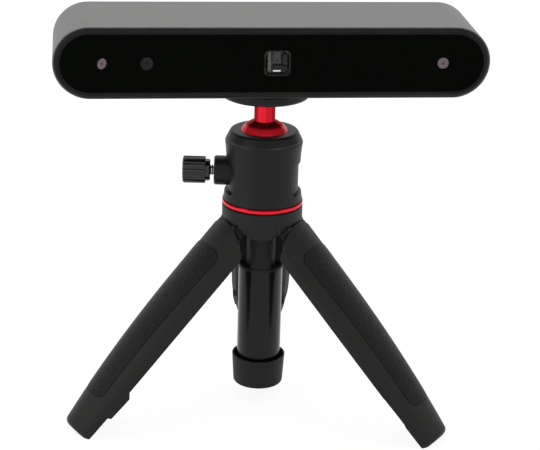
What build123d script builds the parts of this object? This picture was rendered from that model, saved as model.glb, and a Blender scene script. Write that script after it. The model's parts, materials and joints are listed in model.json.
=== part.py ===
from build123d import *
import os
from math import asin, cos, degrees, radians, sin, sqrt

# A bar-shaped three-dimensional scanner on a folding table tripod with a ball head.
# Millimetres and degrees. +Z is up, the scanner's front looks to -Y, its width runs along X.

# Scanner head: outer size
SCANNER_WIDTH = 155.0
SCANNER_DEPTH = 39.4
SCANNER_HEIGHT = 26.0
SCANNER_X = 0.7
SHELL_WALL = 1.4
SHELL_EDGE = 0.35
BEZEL_WIDTH = 2.2
BEZEL_SLOPE = 0.94
BEZEL_SPIGOT = 4.0
WINDOW_THICKNESS = 1.5
WINDOW_RECESS = 0.15
LEDGE_WIDTH = 1.2
LEDGE_THICKNESS = 1.0
REAR_COVER_THICKNESS = 1.8

# Scanner head: optics, the outer cameras from its ends and the others from them or the middle
CAMERA_FROM_END = 17.2
COLOUR_CAMERA_INBOARD = 15.6
PROJECTOR_OFFSET = 1.2
INFRARED_WINDOW_RADIUS = 2.0
COLOUR_WINDOW_RADIUS = 2.4
PROJECTOR_WINDOW_SIZE = 9.2
PROJECTOR_WINDOW_CORNER = 1.6
CAMERA_BODY_SIZE = 11.0
CAMERA_BODY_DEPTH = 5.0
CAMERA_BARREL_RADIUS = 3.6
CAMERA_BARREL_LENGTH = 3.0
CAMERA_LENS_RADIUS = 2.6
CAMERA_LENS_CROWN = 0.5
PROJECTOR_BODY_WIDTH = 18.0
PROJECTOR_BODY_HEIGHT = 14.0
PROJECTOR_BODY_DEPTH = 9.0
PROJECTOR_BARREL_RADIUS = 6.0
PROJECTOR_LENS_RADIUS = 4.6
PROJECTOR_LENS_CROWN = 0.9
OPTICS_STANDOFF = 0.3

# Scanner head: inside
BENCH_THICKNESS = 2.0
BENCH_SETBACK = 8.0
COVER_POST_FROM_END = 15.5
COVER_POST_HEIGHT = 11.0
COVER_POST_RADIUS = 2.4
BOARD_FROM_END = 21.5
BOARD_HEIGHT = 19.0
BOARD_THICKNESS = 1.6
BOARD_STANDOFF = 14.0
BOARD_SCREW_FROM_EDGE = 6.0
BOARD_SCREW_HEIGHT = 13.0
BOARD_SCREW_RADIUS = 1.0
BOARD_SCREW_HEAD_RADIUS = 1.9
BOARD_SCREW_HEAD_HEIGHT = 1.2
COVER_SCREW_RADIUS = 1.2
COVER_SCREW_HEAD_RADIUS = 2.1
COVER_SCREW_HEAD_HEIGHT = 1.0
COVER_SCREW_LENGTH = 6.0
SCREW_SOCKET_RADIUS = 0.9
SINK_WIDTH = 26.0
SINK_HEIGHT = 14.0
SINK_BASE = 1.6
SINK_DEPTH = 9.0
SINK_FINS = 7
SINK_FIN_THICKNESS = 1.2
SINK_X = 28.0

# Scanner head: rear controls
BUTTON_FROM_END = 31.5
BUTTON_RADIUS = 3.4
BUTTON_PROUD = 0.8
BUTTON_CLEARANCE = 0.15
BUTTON_TRAVEL = 0.5
BUTTON_FLANGE = 0.7
SWITCH_SIZE = 6.0
LIGHT_FROM_BUTTON = 10.0
LIGHT_RADIUS = 1.0
USB_FROM_END = 31.5
USB_WIDTH = 8.94
USB_HEIGHT = 3.16
USB_WALL = 0.3
USB_TONGUE_WIDTH = 6.6
USB_TONGUE_HEIGHT = 0.7
USB_TONGUE_RECESS = 0.8
USB_BASE_DEPTH = 2.0
USB_OPENING_GAP = 0.35

# Quarter-inch screw between the scanner and the ball head
STUD_RADIUS = 3.1
STUD_LENGTH = 5.2
STUD_CLEARANCE = 0.08
BUSH_RADIUS = 4.6
BUSH_FLANGE_RADIUS = 5.5
BUSH_FLANGE_THICKNESS = 1.0
BUSH_LENGTH = 6.4

# Ball head
PLATE_RADIUS = 16.5
PLATE_THICKNESS = 3.2
PLATE_CHAMFER = 0.8
PAD_THICKNESS = 1.0
PAD_INSET = 0.4
BALL_RADIUS = 10.7
BALL_CLEARANCE = 0.08
STEM_RADIUS = 3.88
STEM_SPIGOT_RADIUS = 2.6
STEM_SPIGOT_LENGTH = 2.4
RUNNING_CLEARANCE = 0.05
PLATE_ABOVE_BALL = 19.4
BALL_BELOW_RIM = 6.3
HOUSING_HEIGHT = 26.2
HOUSING_FOOT_RADIUS = 14.65
HOUSING_WAIST_RADIUS = 13.7
HOUSING_WAIST_HEIGHT = 11.0
HOUSING_SHOULDER_RADIUS = 14.4
HOUSING_SHOULDER_DROP = 4.1
HOUSING_TOP_RADIUS = 12.4
HOUSING_EDGE_FILLET = 1.3
SEAT_INNER_RADIUS = 7.6
SEAT_THICKNESS = 3.4
SEAT_BELOW_BALL = 7.4
BLOCK_FLOOR_GAP = 2.0
BLOCK_BOWL_DEPTH = 3.8
BLOCK_GAP = 0.1
SIDE_PANEL_WIDTH = 18.0
SIDE_PANEL_HEIGHT = 11.8
SIDE_PANEL_CORNER = 2.0
SIDE_PANEL_BELOW_KNOB = 1.3
SIDE_PANEL_RADIUS = 13.05
PLUG_RADIUS = 11.8
PLUG_THICKNESS = 3.4
RING_RADIUS = 15.0
RING_THICKNESS = 2.3
RING_CROWN = 0.35

# Clamp knob
KNOB_BELOW_SEAT = 2.6
BOSS_RADIUS = 5.45
BOSS_REACH = 18.2
KNOB_GAP = 1.4
KNOB_COLLAR_RADIUS = 4.1
KNOB_COLLAR_LENGTH = 1.7
KNOB_RADIUS = 5.05
KNOB_LENGTH = 8.5
KNOB_FLUTES = 16
KNOB_FLUTE_RADIUS = 0.55
KNOB_CROWN = 0.5
SCREW_RADIUS = 2.0
SCREW_THREAD_DEPTH = 0.3
SCREW_PITCH = 0.8
SCREW_TIP_RADIUS = 1.0
SCREW_TIP_LENGTH = 2.4
SCREW_REACH = 9.2

# Leg hub and neck
HUB_INSET = 0.7
HUB_HEIGHT = 9.7
HUB_BELOW_HINGE = 3.0
NECK_HEIGHT = 14.4
NECK_CORE_RADIUS = 5.6
NECK_ROOT = 0.5
NECK_RIB_TOP = 6.0
NECK_RIB_BOTTOM = 7.7
COLLAR_RADIUS = 8.5
COLLAR_HEIGHT = 1.0
SPIGOT_LENGTH = 4.0
HINGE_INSET = 4.2
PIN_RADIUS = 1.5
PIN_LENGTH = 17.0
KNUCKLE_WIDTH = 11.2
KNUCKLE_RADIUS = 2.7
HINGE_SIDE_GAP = 0.3
LEG_TOP_GAP = 0.4
LEG_TOP_RELIEF = 2.5

# Centre tube, end cap and pole
TUBE_RADIUS = 8.23
TUBE_WALL = 1.4
TUBE_BOTTOM = 7.0
CAP_BOTTOM = 4.6
CAP_HEIGHT = 11.5
CAP_BASE_RADIUS = 9.37
CAP_RIM_RADIUS = 10.07
CAP_RIM_WALL = 0.7
CAP_FLOOR = 2.4
CAP_GRIP_HEIGHT = 5.0
CAP_FILLET = 0.8
POLE_MIDDLE_RADIUS = 4.9
POLE_MIDDLE_BORE = 4.1
POLE_INNER_RADIUS = 3.5
POLE_INNER_BORE = 2.7
POLE_BUSH_HEIGHT = 5.0
POLE_FLOOR_GAP = 1.0
POLE_LIP_HEIGHT = 4.0
POLE_LOWER_TRAVEL = 32.0
POLE_UPPER_TRAVEL = 48.0

# Legs: a third of a round handle each when folded
TRIPOD_TURN = -6.4
LEG_COUNT = 3
LEG_OPEN_ANGLE = 45.7
LEG_LENGTH = 95.9
LEG_TOP = 1.6
LEG_SHOULDER = 6.95
LEG_HALF_WIDTH = 11.75
LEG_FOOT_HALF_WIDTH = 8.9
LEG_STRAIGHT = 60.0
HANDLE_TOP_RADIUS = 15.7
HANDLE_MID_TAPER = 0.2
HANDLE_MID = 30.0
HANDLE_FOOT_TAPER = 5.0
FOOT_CORNER = 2.4
LEG_WALL = 1.6
LEG_SECTOR_GAP = 0.15
LEG_INNER_CORNER = 4.5
FOOT_INNER = 5.5
FOOT_SOLID = 10.0
FOOT_FLAT = 0.67
FOOT_PAD_THICKNESS = 2.0
FOOT_PLUG_RADIUS = 1.8
FOOT_PLUG_LENGTH = 4.0
RUNG_PITCH = 9.6
RUNG_FIRST = 18.0
RUNG_COUNT = 7
RUNG_THICKNESS = 1.3
RUNG_REACH = 4.8
GRIP_TOP = 12.7
GRIP_BOTTOM = 81.4
GRIP_TOP_HALF_WIDTH = 8.7
GRIP_FOOT_HALF_WIDTH = 6.1
GRIP_CORNER = 3.2
GRIP_DEPTH = 1.0
GRIP_PROUD = 0.2
GRIP_SEAM = 0.12
LUG_TOP = 71.8
LUG_BOTTOM = 85.4
LUG_TIP = 4.8
LUG_RAMP = 2.6
LUG_CLEARANCE = 0.3
LUG_SUNK = 10.0

# Worked out from the values above
SPREAD = radians(LEG_OPEN_ANGLE)
SECTOR = 360 / LEG_COUNT
HANDLE_MID_RADIUS = HANDLE_TOP_RADIUS - HANDLE_MID_TAPER
HANDLE_FOOT_RADIUS = HANDLE_TOP_RADIUS - HANDLE_FOOT_TAPER
RUNG_INNER = HANDLE_TOP_RADIUS - RUNG_REACH
HINGE_RADIUS = HANDLE_TOP_RADIUS - HINGE_INSET
HUB_RADIUS = HANDLE_TOP_RADIUS - HUB_INSET
HINGE_Z = LEG_LENGTH * cos(SPREAD) + (HINGE_RADIUS - FOOT_INNER) * sin(SPREAD) - FOOT_FLAT
HUB_BOTTOM = HINGE_Z - HUB_BELOW_HINGE
HUB_TOP = HUB_BOTTOM + HUB_HEIGHT
COLLAR_TOP = HUB_BOTTOM - NECK_HEIGHT
TUBE_TOP = COLLAR_TOP - COLLAR_HEIGHT
RING_TOP = HUB_TOP + RING_THICKNESS
HOUSING_TOP = RING_TOP + HOUSING_HEIGHT
BALL_Z = HOUSING_TOP - BALL_BELOW_RIM
PLATE_BOTTOM = BALL_Z + PLATE_ABOVE_BALL
PLATE_TOP = PLATE_BOTTOM + PLATE_THICKNESS
SCANNER_BOTTOM = PLATE_TOP + PAD_THICKNESS
SCANNER_Z = SCANNER_BOTTOM + SCANNER_HEIGHT / 2
KNOB_AXIS_HEIGHT = HOUSING_HEIGHT - BALL_BELOW_RIM - SEAT_BELOW_BALL - KNOB_BELOW_SEAT
HOUSING_SHOULDER_HEIGHT = HOUSING_HEIGHT - HOUSING_SHOULDER_DROP
SIDE_PANEL_CENTRE = KNOB_AXIS_HEIGHT - SIDE_PANEL_BELOW_KNOB
KNOB_Z = RING_TOP + KNOB_AXIS_HEIGHT
FRONT = -SCANNER_DEPTH / 2
REAR = SCANNER_DEPTH / 2
SHELL_FRONT = FRONT + BEZEL_SLOPE
SHELL_REAR = REAR - BEZEL_SLOPE
WINDOW_INSET = SHELL_EDGE + BEZEL_WIDTH
WINDOW_FRONT = FRONT + WINDOW_RECESS
WINDOW_BACK = WINDOW_FRONT + WINDOW_THICKNESS
BENCH_FRONT = WINDOW_BACK + BENCH_SETBACK
BENCH_BACK = BENCH_FRONT + BENCH_THICKNESS
BOARD_FRONT = BENCH_BACK + BOARD_STANDOFF
BOARD_BACK = BOARD_FRONT + BOARD_THICKNESS
COVER_INNER = REAR - REAR_COVER_THICKNESS
CAMERA_X = SCANNER_WIDTH / 2 - CAMERA_FROM_END
COLOUR_X = -CAMERA_X + COLOUR_CAMERA_INBOARD
COVER_POST_SPACING = SCANNER_WIDTH - 2 * COVER_POST_FROM_END
BOARD_WIDTH = SCANNER_WIDTH - 2 * BOARD_FROM_END
BOARD_SCREW_SPACING = BOARD_WIDTH - 2 * BOARD_SCREW_FROM_EDGE
BUTTON_X = SCANNER_WIDTH / 2 - BUTTON_FROM_END
LIGHT_X = BUTTON_X - LIGHT_FROM_BUTTON
USB_X = -SCANNER_WIDTH / 2 + USB_FROM_END


def stadium(inset):
    """The scanner's outline, a bar with full round ends, drawn inwards by inset."""
    return SlotOverall(SCANNER_WIDTH - 2 * inset, SCANNER_HEIGHT - 2 * inset)


def across(sketch, start, end):
    """Extrudes a sketch drawn in X and Z from depth start to depth end of the scanner."""
    plane = Plane(origin=(SCANNER_X, start, SCANNER_Z), x_dir=(1, 0, 0), z_dir=(0, 1, 0))
    return extrude(plane * mirror(sketch, Plane.XZ), end - start)


def bar_at(x, height, radius, start, end):
    """A round bar along the scanner's depth, at x and at a height above the scanner's middle."""
    return across(Pos(x, height) * Circle(radius), start, end)


def scanner_shell():
    sleeve = across(stadium(0), SHELL_FRONT, SHELL_REAR) - across(stadium(SHELL_WALL), SHELL_FRONT, SHELL_REAR)
    hole = Pos(0, 0, SCANNER_BOTTOM) * Cylinder(BUSH_RADIUS, 4 * SHELL_WALL)
    return sleeve - hole


def sloped_frame(face, spigot_end, sign):
    """A frame that stands on the sleeve's end, slopes to the face and has a spigot in the sleeve."""
    edge = face - sign * BEZEL_SLOPE
    low = Plane(origin=(SCANNER_X, edge, SCANNER_Z), x_dir=(1, 0, 0), z_dir=(0, sign, 0))
    outer = extrude(low * stadium(SHELL_EDGE), BEZEL_SLOPE, taper=degrees(asin(BEZEL_WIDTH / 2 / sqrt(
        BEZEL_SLOPE ** 2 + (BEZEL_WIDTH / 2) ** 2))))
    spigot = across(stadium(SHELL_WALL), min(edge, spigot_end), max(edge, spigot_end))
    return outer + spigot


def front_bezel():
    frame = sloped_frame(FRONT, SHELL_FRONT + BEZEL_SPIGOT, -1)
    seat = across(stadium(WINDOW_INSET), FRONT, WINDOW_BACK)
    throat = across(stadium(WINDOW_INSET + LEDGE_WIDTH), FRONT, SHELL_FRONT + BEZEL_SPIGOT)
    hollow = across(stadium(SHELL_WALL + LEDGE_THICKNESS), WINDOW_BACK + LEDGE_THICKNESS, SHELL_FRONT + BEZEL_SPIGOT)
    return frame - seat - throat - hollow


def window_holes(gap):
    """The clear places in the black window, as sketches in X and Z."""
    rounded = RectangleRounded(
        PROJECTOR_WINDOW_SIZE + 2 * gap, PROJECTOR_WINDOW_SIZE + 2 * gap, PROJECTOR_WINDOW_CORNER + gap)
    return {
        "left_infrared_window": Pos(-CAMERA_X, 0) * Circle(INFRARED_WINDOW_RADIUS + gap),
        "right_infrared_window": Pos(CAMERA_X, 0) * Circle(INFRARED_WINDOW_RADIUS + gap),
        "colour_window": Pos(COLOUR_X, 0) * Circle(COLOUR_WINDOW_RADIUS + gap),
        "projector_window": Pos(PROJECTOR_OFFSET, 0) * rounded,
    }


def front_window():
    plate = across(stadium(WINDOW_INSET + RUNNING_CLEARANCE), WINDOW_FRONT, WINDOW_BACK)
    for hole in window_holes(RUNNING_CLEARANCE).values():
        plate -= across(hole, WINDOW_FRONT, WINDOW_BACK)
    return plate


def camera_module(x):
    """A square camera body on the bench, with its barrel close behind the window."""
    barrel_front = WINDOW_BACK + OPTICS_STANDOFF
    body_front = barrel_front + CAMERA_BARREL_LENGTH
    body = across(Pos(x, 0) * RectangleRounded(CAMERA_BODY_SIZE, CAMERA_BODY_SIZE, 1), body_front, BENCH_FRONT)
    barrel = bar_at(x, 0, CAMERA_BARREL_RADIUS, barrel_front, body_front)
    bore = bar_at(x, 0, CAMERA_LENS_RADIUS, barrel_front, body_front + 1)
    return body + barrel - bore


def dome(radius, crown, thickness):
    """A lens with a flat back at z = 0 and a crowned front."""
    sphere = (radius ** 2 + crown ** 2) / (2 * crown)
    return rod(radius, 0, thickness) & Pos(0, 0, thickness - sphere) * Sphere(sphere)


def lens_at(x, radius, crown, back, front):
    plane = Plane(origin=(SCANNER_X + x, back, SCANNER_Z), x_dir=(1, 0, 0), z_dir=(0, -1, 0))
    return plane.location * dome(radius, crown, back - front)


def camera_lens(x):
    front = WINDOW_BACK + OPTICS_STANDOFF + CAMERA_LENS_CROWN
    back = WINDOW_BACK + OPTICS_STANDOFF + CAMERA_BARREL_LENGTH + 1
    return lens_at(x, CAMERA_LENS_RADIUS, CAMERA_LENS_CROWN, back, front)


def projector_places():
    """Depths of the projector's barrel front, body front and body back."""
    front = WINDOW_BACK + OPTICS_STANDOFF
    body_front = front + CAMERA_BARREL_LENGTH
    return front, body_front, body_front + PROJECTOR_BODY_DEPTH


def projector_block(gap, start, end):
    block = RectangleRounded(PROJECTOR_BODY_WIDTH + 2 * gap, PROJECTOR_BODY_HEIGHT + 2 * gap, 1.5)
    return across(Pos(PROJECTOR_OFFSET, 0) * block, start, end)


def projector_body():
    front, body_front, back = projector_places()
    body = projector_block(0, body_front, back)
    barrel = bar_at(PROJECTOR_OFFSET, 0, PROJECTOR_BARREL_RADIUS, front, body_front)
    bore = bar_at(PROJECTOR_OFFSET, 0, PROJECTOR_LENS_RADIUS, front, body_front + 2)
    flange = across(Pos(PROJECTOR_OFFSET, 0) * RectangleRounded(
        PROJECTOR_BODY_WIDTH + 5, PROJECTOR_BODY_HEIGHT, 1.5), BENCH_FRONT - 1.2, BENCH_FRONT)
    return body + barrel + flange - bore


def projector_lens():
    front, body_front, back = projector_places()
    return lens_at(PROJECTOR_OFFSET, PROJECTOR_LENS_RADIUS, PROJECTOR_LENS_CROWN, body_front + 2, front + 1.2)


def four_places(spacing_x, spacing_z):
    return [(x * spacing_x / 2, z * spacing_z / 2) for x in (-1, 1) for z in (-1, 1)]


def optical_bench():
    """Plate that holds the cameras in line, with long posts for the cover and short ones for the board."""
    bench = across(stadium(SHELL_WALL + RUNNING_CLEARANCE), BENCH_FRONT, BENCH_BACK)
    bench -= projector_block(RUNNING_CLEARANCE, BENCH_FRONT, BENCH_BACK)
    for x, z in four_places(COVER_POST_SPACING, COVER_POST_HEIGHT):
        bench += bar_at(x, z, COVER_POST_RADIUS, BENCH_BACK, COVER_INNER)
        bench -= bar_at(x, z, COVER_SCREW_RADIUS, COVER_INNER - COVER_SCREW_LENGTH, COVER_INNER)
    for x, z in four_places(BOARD_SCREW_SPACING, BOARD_SCREW_HEIGHT):
        bench += bar_at(x, z, COVER_POST_RADIUS, BENCH_BACK, BOARD_FRONT)
        bench -= bar_at(x, z, BOARD_SCREW_RADIUS, BOARD_FRONT - COVER_SCREW_LENGTH, BOARD_FRONT)
    return bench


def main_board():
    board = across(RectangleRounded(BOARD_WIDTH, BOARD_HEIGHT, 2), BOARD_FRONT, BOARD_BACK)
    for x, z in four_places(BOARD_SCREW_SPACING, BOARD_SCREW_HEIGHT):
        board -= bar_at(x, z, BOARD_SCREW_RADIUS, BOARD_FRONT, BOARD_BACK)
    return board


def screw(x, z, radius, length, head_radius, head_height, seat):
    """A screw along the depth, with its head's underside at seat and its point to the front."""
    shank = bar_at(x, z, radius, seat - length, seat)
    head = bar_at(x, z, head_radius, seat, seat + head_height)
    socket = bar_at(x, z, SCREW_SOCKET_RADIUS, seat + head_height * 0.4, seat + head_height)
    return shank + head - socket


def board_screws():
    length = BOARD_THICKNESS + COVER_SCREW_LENGTH - 1
    return [screw(x, z, BOARD_SCREW_RADIUS, length, BOARD_SCREW_HEAD_RADIUS, BOARD_SCREW_HEAD_HEIGHT, BOARD_BACK)
            for x, z in four_places(BOARD_SCREW_SPACING, BOARD_SCREW_HEIGHT)]


def heat_sink():
    """Finned block on the processor, on the board's front face."""
    base_front = BOARD_FRONT - SINK_BASE
    sink = across(Pos(SINK_X, 0) * Rectangle(SINK_WIDTH, SINK_HEIGHT), base_front, BOARD_FRONT)
    pitch = (SINK_WIDTH - SINK_FIN_THICKNESS) / (SINK_FINS - 1)
    for i in range(SINK_FINS):
        x = SINK_X - SINK_WIDTH / 2 + SINK_FIN_THICKNESS / 2 + i * pitch
        fin = Pos(x, 0) * Rectangle(SINK_FIN_THICKNESS, SINK_HEIGHT)
        sink += across(fin, BOARD_FRONT - SINK_DEPTH, base_front)
    return sink


def rear_cover():
    """Back plate with the screws' counterbores and the holes of the button, light and socket."""
    cover = sloped_frame(REAR, COVER_INNER, 1)
    for x, z in four_places(COVER_POST_SPACING, COVER_POST_HEIGHT):
        cover -= bar_at(x, z, COVER_SCREW_RADIUS, COVER_INNER, REAR)
        cover -= bar_at(x, z, COVER_SCREW_HEAD_RADIUS + RUNNING_CLEARANCE, REAR - COVER_SCREW_HEAD_HEIGHT, REAR)
    cover -= bar_at(BUTTON_X, 0, BUTTON_RADIUS + BUTTON_CLEARANCE, COVER_INNER, REAR)
    cover -= bar_at(LIGHT_X, 0, LIGHT_RADIUS, COVER_INNER, REAR)
    socket = Pos(USB_X, 0) * SlotOverall(USB_WIDTH + 2 * USB_OPENING_GAP, USB_HEIGHT + 2 * USB_OPENING_GAP)
    return cover - across(socket, COVER_INNER, REAR)


def cover_screws():
    seat = REAR - COVER_SCREW_HEAD_HEIGHT
    length = REAR_COVER_THICKNESS - COVER_SCREW_HEAD_HEIGHT + COVER_SCREW_LENGTH - 1
    return [screw(x, z, COVER_SCREW_RADIUS, length, COVER_SCREW_HEAD_RADIUS, COVER_SCREW_HEAD_HEIGHT, seat)
            for x, z in four_places(COVER_POST_SPACING, COVER_POST_HEIGHT)]


def switch_back():
    """Depth of the switch's working face, one travel and a flange inside the cover."""
    return COVER_INNER - BUTTON_FLANGE - BUTTON_TRAVEL - BUTTON_CLEARANCE


def power_button():
    cap = bar_at(BUTTON_X, 0, BUTTON_RADIUS, COVER_INNER - BUTTON_FLANGE, REAR + BUTTON_PROUD)
    cap = fillet(cap.edges().group_by(Axis.Y)[-1], 0.4)
    flange = bar_at(BUTTON_X, 0, BUTTON_RADIUS + 0.8, COVER_INNER - BUTTON_FLANGE - BUTTON_CLEARANCE,
                    COVER_INNER - BUTTON_CLEARANCE)
    return cap + flange


def button_switch():
    body = across(Pos(BUTTON_X, 0) * RectangleRounded(SWITCH_SIZE, SWITCH_SIZE, 0.6), BOARD_BACK, switch_back() - 0.6)
    plunger = bar_at(BUTTON_X, 0, 1.6, switch_back() - 0.6, switch_back())
    return body + plunger


def status_light():
    return bar_at(LIGHT_X, 0, LIGHT_RADIUS, BOARD_BACK, REAR)


def usb_socket():
    """Upright socket on the board: a steel shell with a base, and the contact tongue inside."""
    mouth = REAR - RUNNING_CLEARANCE
    floor = BOARD_BACK + USB_BASE_DEPTH
    shell = across(Pos(USB_X, 0) * SlotOverall(USB_WIDTH, USB_HEIGHT), BOARD_BACK, mouth)
    hollow = across(Pos(USB_X, 0) * SlotOverall(USB_WIDTH - 2 * USB_WALL, USB_HEIGHT - 2 * USB_WALL), floor, mouth)
    tongue = across(Pos(USB_X, 0) * Rectangle(USB_TONGUE_WIDTH, USB_TONGUE_HEIGHT), floor, mouth - USB_TONGUE_RECESS)
    return shell - hollow + tongue


def tripod_bush():
    """Brass bush with the thread for the tripod screw, flanged on the sleeve's inner side."""
    bush = Cylinder(BUSH_RADIUS, BUSH_LENGTH, align=(Align.CENTER, Align.CENTER, Align.MIN))
    flange = Pos(0, 0, SHELL_WALL) * Cylinder(
        BUSH_FLANGE_RADIUS, BUSH_FLANGE_THICKNESS, align=(Align.CENTER, Align.CENTER, Align.MIN))
    hole = Cylinder(STUD_RADIUS + STUD_CLEARANCE, STUD_LENGTH + 0.4, align=(Align.CENTER, Align.CENTER, Align.MIN))
    return Pos(0, 0, SCANNER_BOTTOM) * (bush + flange - hole)


def turned(points, z=0):
    """A turned solid about the tripod's axis, from (radius, height) points."""
    face = make_face(Polyline(*[(r, 0, h) for r, h in points], close=True))
    return Pos(0, 0, z) * revolve(face, Axis.Z)


def rod(radius, low, high):
    return Pos(0, 0, low) * Cylinder(radius, high - low, align=(Align.CENTER, Align.CENTER, Align.MIN))


def tube(outer, inner, low, high):
    return rod(outer, low, high) - rod(inner, low, high)


def mount_plate():
    plate = rod(PLATE_RADIUS, PLATE_BOTTOM, PLATE_TOP)
    plate = chamfer(plate.edges().group_by(Axis.Z)[0], PLATE_CHAMFER)
    plate -= rod(STEM_SPIGOT_RADIUS + RUNNING_CLEARANCE, PLATE_BOTTOM, PLATE_BOTTOM + STEM_SPIGOT_LENGTH)
    return plate


def plate_pad():
    return tube(PLATE_RADIUS - PAD_INSET, STUD_RADIUS + STUD_CLEARANCE, PLATE_TOP, SCANNER_BOTTOM)


def mount_stud():
    stud = rod(STUD_RADIUS, PLATE_TOP, SCANNER_BOTTOM + STUD_LENGTH)
    return chamfer(stud.edges().group_by(Axis.Z)[-1], 0.6)


def ball_and_stem():
    """Ball with its neck, and a spigot that the mount plate turns on."""
    stem_top = PLATE_BOTTOM - RUNNING_CLEARANCE
    ball = Pos(0, 0, BALL_Z) * Sphere(BALL_RADIUS)
    stem = rod(STEM_RADIUS, BALL_Z, stem_top)
    spigot = rod(STEM_SPIGOT_RADIUS, stem_top, PLATE_BOTTOM + STEM_SPIGOT_LENGTH - 4 * RUNNING_CLEARANCE)
    return ball + stem + spigot


def seat_bottom():
    return BALL_Z - SEAT_BELOW_BALL


def socket_radius():
    return BALL_RADIUS + BALL_CLEARANCE


def ball_seat():
    """Ring that the ball rests and turns on."""
    low = seat_bottom()
    ring = tube(BALL_RADIUS - RUNNING_CLEARANCE, SEAT_INNER_RADIUS, low, low + SEAT_THICKNESS)
    return ring - Pos(0, 0, BALL_Z) * Sphere(socket_radius())


def pressure_block():
    """Block under the seat, lifted by the clamp screw's taper, with a bowl under the ball."""
    top = seat_bottom() - BLOCK_GAP
    low = RING_TOP + PLUG_THICKNESS + BLOCK_FLOOR_GAP
    block = rod(BALL_RADIUS - RUNNING_CLEARANCE, low, top)
    block -= Pos(0, 0, BALL_Z) * Sphere(socket_radius() + 0.3)
    taper = Pos(SCREW_REACH, 0, 0) * Cone(
        SCREW_RADIUS + BLOCK_GAP, SCREW_TIP_RADIUS, SCREW_TIP_LENGTH + BLOCK_GAP, rotation=(0, -90, 0),
        align=(Align.CENTER, Align.CENTER, Align.MIN))
    return block - knob_frame(taper + along_x(SCREW_RADIUS + BLOCK_GAP, SCREW_REACH, 2 * BALL_RADIUS), 0)


def knob_frame(shape, reach):
    """Places a shape drawn along X so that its origin is on the knob's axis, reach out from the middle."""
    return Rot(0, 0, 180 + TRIPOD_TURN) * Pos(reach, 0, KNOB_Z) * shape


def along_x(radius, start, end):
    return Pos(start, 0, 0) * Cylinder(
        radius, end - start, rotation=(0, 90, 0), align=(Align.CENTER, Align.CENTER, Align.MIN))


def housing_body():
    with BuildPart() as body:
        with BuildSketch(Plane.XZ):
            with BuildLine():
                Polyline((0, 0), (HOUSING_FOOT_RADIUS, 0))
                ThreePointArc((HOUSING_FOOT_RADIUS, 0), (HOUSING_WAIST_RADIUS, HOUSING_WAIST_HEIGHT),
                              (HOUSING_SHOULDER_RADIUS, HOUSING_SHOULDER_HEIGHT))
                Polyline((HOUSING_SHOULDER_RADIUS, HOUSING_SHOULDER_HEIGHT), (HOUSING_TOP_RADIUS, HOUSING_HEIGHT),
                         (0, HOUSING_HEIGHT), (0, 0))
            make_face()
        revolve(axis=Axis.Z)
    body = body.part
    rims = [e for e in body.edges().filter_by(GeomType.CIRCLE)
            if e.center().Z > HOUSING_SHOULDER_HEIGHT - 0.1 and e.radius > HOUSING_TOP_RADIUS - 0.1]
    return fillet(rims, HOUSING_EDGE_FILLET)


def side_panels():
    """What is cut off the housing's two sides to leave straight panels with rounded corners."""
    panel = RectangleRounded(SIDE_PANEL_WIDTH, SIDE_PANEL_HEIGHT, SIDE_PANEL_CORNER)
    plane = Plane(origin=(0, 0, SIDE_PANEL_CENTRE), x_dir=(0, 1, 0), z_dir=(1, 0, 0))
    both_sides = extrude(plane * panel, 2 * HOUSING_FOOT_RADIUS, both=True)
    return both_sides - rod(SIDE_PANEL_RADIUS, 0, HOUSING_HEIGHT)


def head_housing():
    """Waisted housing with the ball's socket, the bore for seat and block, and the screw's boss."""
    body = Rot(0, 0, TRIPOD_TURN) * (housing_body() - side_panels())
    body = Pos(0, 0, RING_TOP) * body
    boss = knob_frame(chamfer(along_x(BOSS_RADIUS, 0, BOSS_REACH).edges().group_by(Axis.X)[-1], 0.5), 0)
    body += boss
    body -= Pos(0, 0, BALL_Z) * Sphere(socket_radius())
    body -= rod(BALL_RADIUS, RING_TOP + PLUG_THICKNESS, BALL_Z)
    body -= rod(PLUG_RADIUS, RING_TOP, RING_TOP + PLUG_THICKNESS)
    return body - knob_frame(along_x(SCREW_RADIUS + RUNNING_CLEARANCE, BALL_RADIUS / 2, BOSS_REACH), 0)


def base_plug():
    """Threaded plug that closes the housing and stands on the pole."""
    plug = rod(PLUG_RADIUS, HUB_TOP + RUNNING_CLEARANCE, RING_TOP + PLUG_THICKNESS)
    return plug - rod(POLE_INNER_RADIUS, HUB_TOP, RING_TOP + PLUG_THICKNESS / 2)


def trim_ring():
    """Red ring with a crowned rim between the housing and the hub."""
    low = HUB_TOP + RUNNING_CLEARANCE
    middle = (low + RING_TOP) / 2
    with BuildPart() as ring:
        with BuildSketch(Plane.XZ):
            with BuildLine():
                Polyline((RING_RADIUS - RING_CROWN, RING_TOP), (PLUG_RADIUS, RING_TOP), (PLUG_RADIUS, low),
                         (RING_RADIUS - RING_CROWN, low))
                ThreePointArc((RING_RADIUS - RING_CROWN, low), (RING_RADIUS, middle),
                              (RING_RADIUS - RING_CROWN, RING_TOP))
            make_face()
        revolve(axis=Axis.Z)
    return ring.part


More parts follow.
